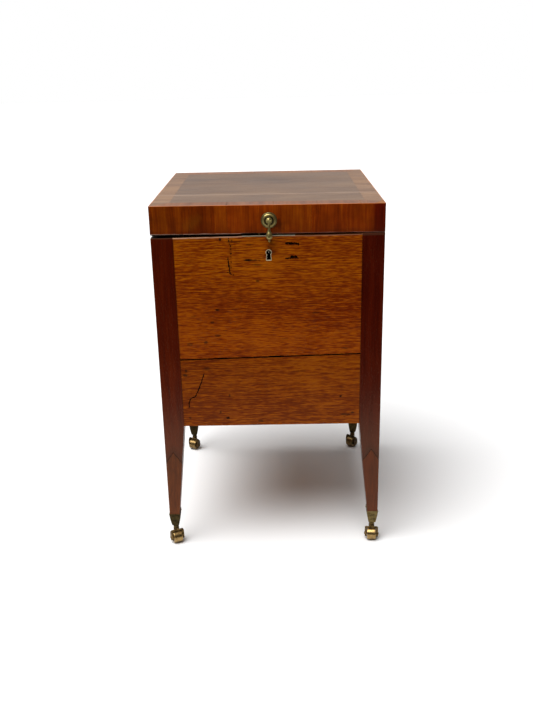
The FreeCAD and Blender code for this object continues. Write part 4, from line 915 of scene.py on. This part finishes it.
for i in range(10):
    x = 35.6 + i * 2.6 + rnd.uniform(-0.5, 0.5)
    tools.append(gouge(x, 663.4 - (x - 36) * 0.05 + rnd.uniform(-0.9, 0.7), rnd.uniform(1.4, 2.3),
                       rnd.uniform(1.9, 3.4), 2.2, seed=50 + i))
for i in range(10):
    x = 34.8 + i * 2.6 + rnd.uniform(-0.4, 0.4)
    thick = 44 < x < 56
    tools.append(gouge(x, (636.2 if thick else 633.8) + rnd.uniform(-0.5, 0.5), rnd.uniform(1.4, 2.1),
                       (3.6 if thick else 1.9) * rnd.uniform(0.8, 1.1), 2.2, seed=70 + i))
tools.append(gouge(-38.6, 631.9, 3.6, 1.5, 1.0, seed=90))
bm = carve(bm, join(*tools))
worn_edge = [ragged(a, b, lambda x: 679.07 + x * 0.00879 - max(0.0, min(2.0, (x + 20) * 0.018)), 0.5, -1, -241,
                    -236.5, 1.6, 14) for a, b in ((-181.5, -49.5), (53.5, 181.5))]
bm = carve(bm, join(*worn_edge), index=0)
put(bm, "front_upper_board_wood", [front_upper_wood, dirt], "front_upper_board")

bm = flatten(cad("front_lower_board"))
bm = ease(bm, 1.1, lambda p, d: p.z < 282 and abs(p.y + 239.7) < 0.05 and abs(d.x) > 0.9)
bm = ease(bm, 0.4, lambda p, d: abs(p.y + 239.7) < 0.05 and abs(abs(p.x) - 182) < 0.1 and abs(d.z) > 0.9, 1)
tools = [ragged(-181.5, 181.5, lambda x: joint_z(x) - 1.0, 0.9, -1, -241, -231.5, seed=9),
         crack([(-133.9, 399.7), (-140.0, 383.0), (-146.8, 364.9), (-154.8, 348.4), (-165.4, 343.0),
                (-168.6, 333.0), (-169.5, 321.9)], 2.0, 2.0, seed=6),
         crack([(146.0, 296.0), (158.0, 300.5), (170.0, 305.5)], 0.7, 0.8, seed=8),
         gouge(142.7, 343.8, 1.4, 1.0, 0.8, seed=21),
         gouge(-89.9, 298.9, 2.6, 1.8, 1.0, seed=22)]
bm = carve(bm, join(*tools))
put(bm, "front_lower_board_wood", [front_lower_wood, dirt], "front_lower_board")

# ---------------------------------------------------------------- sides and back
for side, sx in (("left", -1), ("right", 1)):
    bm = flatten(cad("side_panel_" + side))
    bm = ease(bm, 0.9, lambda p, d: abs(abs(p.x) - 224.7) < 0.05 and (p.z < 283 or p.z > 670) and abs(d.y) > 0.9)
    bm = ease(bm, 0.4, lambda p, d: abs(abs(p.x) - 224.7) < 0.05 and abs(abs(p.y) - 197) < 0.1 and abs(d.z) > 0.9, 1)
    put(bm, "side_panel_%s_wood" % side, side_wood, "side_panel_" + side)
bm = flatten(cad("back_panel"))
bm = ease(bm, 0.8, lambda p, d: abs(p.y - 239.7) < 0.05 and p.z < 283 and abs(d.x) > 0.9)
bm = ease(bm, 0.4, lambda p, d: abs(p.y - 239.7) < 0.05 and abs(abs(p.x) - 182) < 0.1 and abs(d.z) > 0.9, 1)
put(bm, "back_panel_wood", back_wood, "back_panel")

# ---------------------------------------------------------------- inside
put(ease(flatten(cad("bottom_board")), 0.6, lambda p, d: p.z < 295), "bottom_board_wood", floor_inner, "bottom_board")
for n, m in (("divider_slats_lengthwise", slat_y), ("divider_slats_crosswise", slat_x)):
    put(ease(flatten(cad(n)), 1.1, lambda p, d: p.z > 493.9 and abs(d.z) < 0.1, 3), n + "_wood", m, n)
put(ease(flatten(cad("divider_cleats")), 0.8, lambda p, d: p.z > 493.9), "divider_cleats_wood", cleat_wood,
    "divider_cleats")
paint("bottom_bearers", inner_x)

# ---------------------------------------------------------------- lid
JOINT_Y = -112.0


def lift(x, y):
    """The old lid has pulled a little out of true: up at the left, down at the right."""
    front = 1.8 * (67.0 - x) / 292.0 if x < 67 else -0.75 * ((x - 67.0) / 158.0) ** 1.5
    back = 0.8 - 0.35 * x / 225.0
    return front + (back - front) * (y + 240.0) / 480.0



def top_h(x, y):
    """Height of the lid's face: a ridge over the boards' joint, and slight waves."""
    d = y - JOINT_Y - x * 0.004
    h = 0.42 * math.exp(-(d / 4.5) ** 2)
    h += -0.22 / (1.0 + math.exp((d + 2.0) / 3.0))
    h += 0.16 * noise.noise(Vector((x * 0.009, y * 0.014, 1.7)))
    h += 0.05 * noise.noise(Vector((x * 0.03, y * 0.05, 5.1)))
    return 737.85 + h + lift(x, y)


def slab(corner, nu, nv, name, ease_v=None):
    """A thin sheet between z 737 and the lid's face. corner(u, v) gives its outline in plan."""
    bm = bmesh.new()
    top, bot = [], []
    us = [i / nu for i in range(nu + 1)]
    vs = ease_v or [j / nv for j in range(nv + 1)]
    for v in vs:
        top.append([])
        bot.append([])
        for u in us:
            x, y = corner(u, v)
            ax, ay = 225.0 - abs(x), 240.0 - abs(y)
            e = min(ax, ay)
            drop = 0.0 if e > 0.9 else 0.7 * (1.0 - math.sqrt(max(0.0, 1.0 - (1.0 - e / 0.9) ** 2)))
            top[-1].append(bm.verts.new((x, y, top_h(x, y) - drop)))
            bot[-1].append(bm.verts.new((x, y, 737.0 + lift(x, y))))
    nr, nc = len(vs), len(us)
    for j in range(nr - 1):
        for i in range(nc - 1):
            bm.faces.new((top[j][i], top[j][i + 1], top[j + 1][i + 1], top[j + 1][i]))
            bm.faces.new((bot[j][i], bot[j + 1][i], bot[j + 1][i + 1], bot[j][i + 1]))
    rim = ([(0, i) for i in range(nc)] + [(j, nc - 1) for j in range(1, nr)]
           + [(nr - 1, i) for i in range(nc - 2, -1, -1)] + [(j, 0) for j in range(nr - 2, 0, -1)])
    for (j0, i0), (j1, i1) in zip(rim, rim[1:] + rim[:1]):
        bm.faces.new((top[j0][i0], bot[j0][i0], bot[j1][i1], top[j1][i1]))
    return bm


bm = slab(lambda u, v: (-188.85 + 377.7 * u, -203.85 + 407.7 * v), 90, 150, "field")
put(bm, "lid_field_veneer_wood", field_wood, "lid_top_field_veneer", angle=40)

# the border, leaf by leaf, mitred at the corners; v runs inwards from the edge
V = [0.0, 0.004, 0.010, 0.018, 0.026, 0.06, 0.15, 0.3, 0.45, 0.6, 0.75, 0.88, 1.0]
GAP = 0.12


def leaf(kind, a, b):
    """One leaf of the border from a to b (mm along the edge), clipped by the mitres."""
    def corner(u, v):
        d = 36.0 * v
        if kind in ("front", "back"):
            lo, hi = max(a, -225 + d + GAP * (a < -200)), min(b, 225 - d - GAP * (b > 200))
            s = lo + (hi - lo) * u
            return (s, -240 + d) if kind == "front" else (s, 240 - d)
        lo, hi = max(a, -240 + d + GAP * (a < -210)), min(b, 240 - d - GAP * (b > 210))
        s = lo + (hi - lo) * u
        return (-225 + d, s) if kind == "left" else (225 - d, s)
    length = b - a
    return slab(corner, max(4, int(length / 6)), 0, kind, V)


FRONT_CUTS = [-225, -95.3, -77.2, 12.0, 96.0, 178.4, 225]
BACK_CUTS = [-225, -140, -60, 22, 105, 225]
SIDE_CUTS = [-240, -150, -70, 12, 92, 168, 240]
long_leaves, end_leaves = [], []
for kind, cuts, out in (("front", FRONT_CUTS, long_leaves), ("back", BACK_CUTS, long_leaves),
                        ("left", SIDE_CUTS, end_leaves), ("right", SIDE_CUTS, end_leaves)):
    for i, (a, b) in enumerate(zip(cuts, cuts[1:])):
        # short leaves next to a corner would invert at the mitre, so a corner leaf is at least a band long
        g = 0.8 if kind == "front" and 0 < i < len(cuts) - 1 else 0.1
        out.append(leaf(kind, a + (g / 2 if i else 0), b - (g / 2 if i < len(cuts) - 2 else 0)))
put(join(*long_leaves), "lid_crossband_long", band_y_wood, "lid_top_crossbanding", angle=40)
o = put(join(*end_leaves), "lid_crossband_ends", band_x_wood, (), "lid", angle=40)

# front veneer of the lid, upright leaves with a worn and chipped lower edge
LEAVES = [-225.0, -148.0, -76.0, 12.0, 84.0, 152.0, 225.0]


def lower_edge(x):
    z = 682.55 + lift(x, -240.0) + 0.12 * noise.noise(Vector((x * 0.2, 2.2, 0)))
    for x0, x1, k in ((-50.5, 2.0, 1.7), (96.0, 99.5, 0.8), (-187.0, -183.0, 0.7), (160.0, 166.0, 0.6)):
        if x0 < x < x1:
            s = min(1.0, (x - x0) / 1.2, (x1 - x) / 3.0)
            z += k * s * (0.85 + 0.35 * noise.noise(Vector((x * 0.35, 9.1, 0))))
    return z


def upright_leaf(a, b, hole=None):
    """A leaf 1 mm thick, its lower front arris eased."""
    n = max(8, int((b - a) / 1.6))
    xs = [a + (b - a) * i / n for i in range(n + 1)]
    rings = []
    for x in xs:
        lo = lower_edge(x)
        top = 737.0 + lift(x, -240.0)
        ring = [(-239.0, top), (-240.0, top), (-240.0, lo + 0.75), (-239.88, lo + 0.38), (-239.62, lo + 0.12),
                (-239.25, lo), (-239.0, lo)]
        rings.append([Vector((x, y, z)) for y, z in ring])
    bm = shell(rings)
    if hole:
        c = lathe([(0, 0), (2.6, 0), (2.6, 4), (0, 4)], 32)
        turned_to(c, Matrix.Rotation(math.radians(90), 3, "X"), (hole[0], -237.5, hole[1]))
        bm = carve(bm, c)
    return bm


parts = [upright_leaf(a + 0.06, b - 0.06, (3.4, 708.4) if a < 3.4 < b else None) for a, b in zip(LEAVES, LEAVES[1:])]
put(join(*parts), "lid_front_veneer", [band_front_wood, dirt], "lid_front_crossbanding")


def side_leaf(sx, a, b):
    n = max(4, int((b - a) / 8))
    rings = []
    for i in range(n + 1):
        y = a + (b - a) * i / n
        up = lift(sx * 225.0, y)
        lo = 683.12 + up + 0.1 * noise.noise(Vector((y * 0.2, 6.0 * sx, 0)))
        ring = [(224.0, 737.0 + up), (225.0, 737.0 + up), (225.0, lo + 0.6), (224.85, lo + 0.2), (224.5, lo), (224.0, lo)]
        rings.append([Vector((sx * x, y, z)) for x, z in ring])
    return shell(rings)


parts = []
for sx in (-1, 1):
    for a, b in zip([-239, -158, -83, 0, 83, 166], [-158, -83, 0, 83, 166, 240]):
        parts.append(side_leaf(sx, a + (0.05 if a > -239 else 0), b - (0.05 if b < 240 else 0)))
put(join(*parts), "lid_side_veneer", band_side_wood, "lid_side_crossbanding")

for n, m in (("lid_front_rail", inner_x), ("lid_back_rail", inner_x), ("lid_side_rail_left", inner_y),
             ("lid_side_rail_right", inner_y), ("lid_top_board_front", lid_board_wood),
             ("lid_top_board_back", lid_board_wood)):
    paint(n, m)

# ---------------------------------------------------------------- lock and hinges
put(ease(flatten(cad("lock_selvage")), 0.25, lambda p, d: p.z > 678.8 and (abs(p.x - 2) > 50 or abs(abs(p.y + 231.5) - 6) < 0.2), 2),
    "lock_selvage_brass", selvage_brass, "lock_selvage")
put(cast(cad("keyhole_escutcheon"), 0.16, 5, 0.5, 0.02, 7, 0.5), "keyhole_ring", ring_brass, "keyhole_escutcheon",
    angle=60)
for n in ("lock_bolt", "lock_link_plate", "hinge_carcass_leaves", "hinge_lid_leaves"):
    paint(n, sheet_brass)
for n in ("lock_case", "lock_cap"):
    paint(n, case_brass)
for n in ("lock_screws", "hinge_carcass_screws", "lid_screws", "cup_pins"):
    paint(n, screw_brass)
for n in ("lock_drill_pin", "hinge_pins"):
    paint(n, pin_steel)

# ---------------------------------------------------------------- pull
OUT = Matrix.Rotation(math.radians(90), 3, "X")      # a turned piece's Z to -Y
prof = [(2.55, 0.0), (2.55, 0.0), (14.6, 0.0), (15.0, 0.25), (15.0, 0.9), (14.7, 1.45), (14.1, 1.75), (13.5, 1.8),
        (13.0, 1.7), (13.0, 1.7), (12.75, 2.3), (12.2, 3.1), (11.5, 3.7), (10.6, 4.1), (9.6, 4.25), (8.8, 4.05),
        (8.3, 3.75), (8.3, 3.75), (7.9, 4.1), (7.3, 4.2), (6.8, 3.95), (6.3, 3.8), (2.55, 3.8), (2.55, 3.8)]
bm = lathe(smooth_profile(prof, 4)[:-1], 120)
turned_to(bm, OUT, (3.4, FRONT, 708.4))
for v in bm.verts:
    k = noise.noise(v.co * 0.22) * 0.10 + noise.noise(v.co * 0.9) * 0.04
    v.co.y -= k if v.co.y < FRONT - 1.0 else 0.0
put(bm, "pull_rosette_brass", cast_brass, "pull_rosette", angle=60)
put(cast(cad("pull_stud"), 0.16, 3, 0.5, 0.03, 3, 0.5), "pull_stud_brass", cast_brass, "pull_stud", angle=60)
put(cast(cad("pull_drop"), 0.17, 4, 0.5, 0.04, 5, 0.6), "pull_drop_brass", cast_brass, "pull_drop", angle=60)
paint("pull_nut", cast_brass)

# ---------------------------------------------------------------- casters
for i, key in enumerate(SIDES):
    put(cast(cad("caster_cup_" + key), 0.34, 3, 0.5, 0.10, 11 + i, 0.5), "cup_%s_brass" % key, cup_brass,
        "caster_cup_" + key, angle=50)
    put(cast(cad("caster_fork_" + key), 0.34, 5, 0.5, 0.10, 21 + i, 0.5), "fork_%s_brass" % key, fork_brass,
        "caster_fork_" + key, angle=50)
    put(cast(cad("caster_axle_" + key), 0.24, 3, 0.5, 0.0, 31 + i), "axle_%s_brass" % key, fork_brass,
        "caster_axle_" + key, angle=50)
    put(cast(cad("caster_wheel_" + key), 0.30, 4, 0.5, 0.06, 41 + i, 0.5), "wheel_%s_brass" % key, wheel_brass,
        "caster_wheel_" + key, angle=50)

# ---------------------------------------------------------------- studio
floor_mat, t = material("studio_floor")
n = t.noise(t.P, 1.5, 2.0)
col = t.ramp(n, [(0.3, grey(0.80)), (0.7, grey(0.82))])
t.put(t.bsdf.inputs["Base Color"], col)
t.bsdf.inputs["Roughness"].default_value = 0.85
t.bsdf.inputs["Specular IOR Level"].default_value = 0.2
me = bpy.data.meshes.new("studio_floor")
x0, x1, y0, y1 = -12.0, 12.0, -0.93, 20.0
me.from_pydata([(x0, y0, 0), (x1, y0, 0), (x1, y1, 0), (x0, y1, 0)], [], [(0, 1, 2, 3)])
me.materials.append(floor_mat)
floor = bpy.data.objects.new("studio_floor", me)
scene.collection.objects.link(floor)

world = bpy.data.worlds.new("studio")
scene.world = world
world.use_nodes = True
world.node_tree.nodes.clear()
t = Tree(world.node_tree)
out = t.add("ShaderNodeOutputWorld")
bg = t.add("ShaderNodeBackground")
t.t.links.new(bg.outputs[0], out.inputs[0])
d = t.sep(t.add("ShaderNodeTexCoord").outputs["Generated"])
back = t.math("MULTIPLY", t.smooth(d[1], 0.45, 0.85), t.smooth(d[2], 0.75, 0.35))
back = t.math("MULTIPLY", back, t.smooth(d[2], 0.06, 0.22))
over = t.smooth(d[2], 0.55, 0.9)
light = t.math("MULTIPLY_ADD", back, 0.72, 0.015)
light = t.math("MULTIPLY_ADD", over, 0.50, light)
seen = t.add("ShaderNodeLightPath").outputs["Is Camera Ray"]
t.put(bg.inputs["Strength"], t.lerp(seen, light, 1.0))
bg.inputs["Color"].default_value = (1, 1, 1, 1)

sun = bpy.data.lights.new("key", "SUN")
sun.energy = 4.4
sun.angle = math.radians(52)
o = bpy.data.objects.new("key", sun)
scene.collection.objects.link(o)
el, az = math.radians(65.5), math.radians(52)
toward = Vector((-math.sin(az) * math.cos(el), -math.cos(az) * math.cos(el), math.sin(el)))
o.rotation_mode = "QUATERNION"
o.rotation_quaternion = toward.to_track_quat("Z", "Y")
o.location = toward * 3

yaw, pitch, roll = -0.01441, 0.34845, -0.02317
fw = Vector((math.sin(yaw) * math.cos(pitch), math.cos(yaw) * math.cos(pitch), -math.sin(pitch)))
r = fw.cross(Vector((0, 0, 1))).normalized()
u = r.cross(fw)
r2 = r * math.cos(roll) + u * math.sin(roll)
u2 = -r * math.sin(roll) + u * math.cos(roll)
cam = bpy.data.cameras.new("camera")
cam.lens = 41.59
cam.sensor_width = 36.0
cam.sensor_fit = "AUTO"
cam.clip_start, cam.clip_end = 0.05, 60.0
camera = bpy.data.objects.new("camera", cam)
scene.collection.objects.link(camera)
camera.matrix_world = Matrix(((r2.x, u2.x, -fw.x, 0.01524), (r2.y, u2.y, -fw.y, -1.79452),
                              (r2.z, u2.z, -fw.z, 0.99991), (0, 0, 0, 1)))
scene.camera = camera
scene.view_settings.view_transform = "Standard"
scene.view_settings.look = "None"
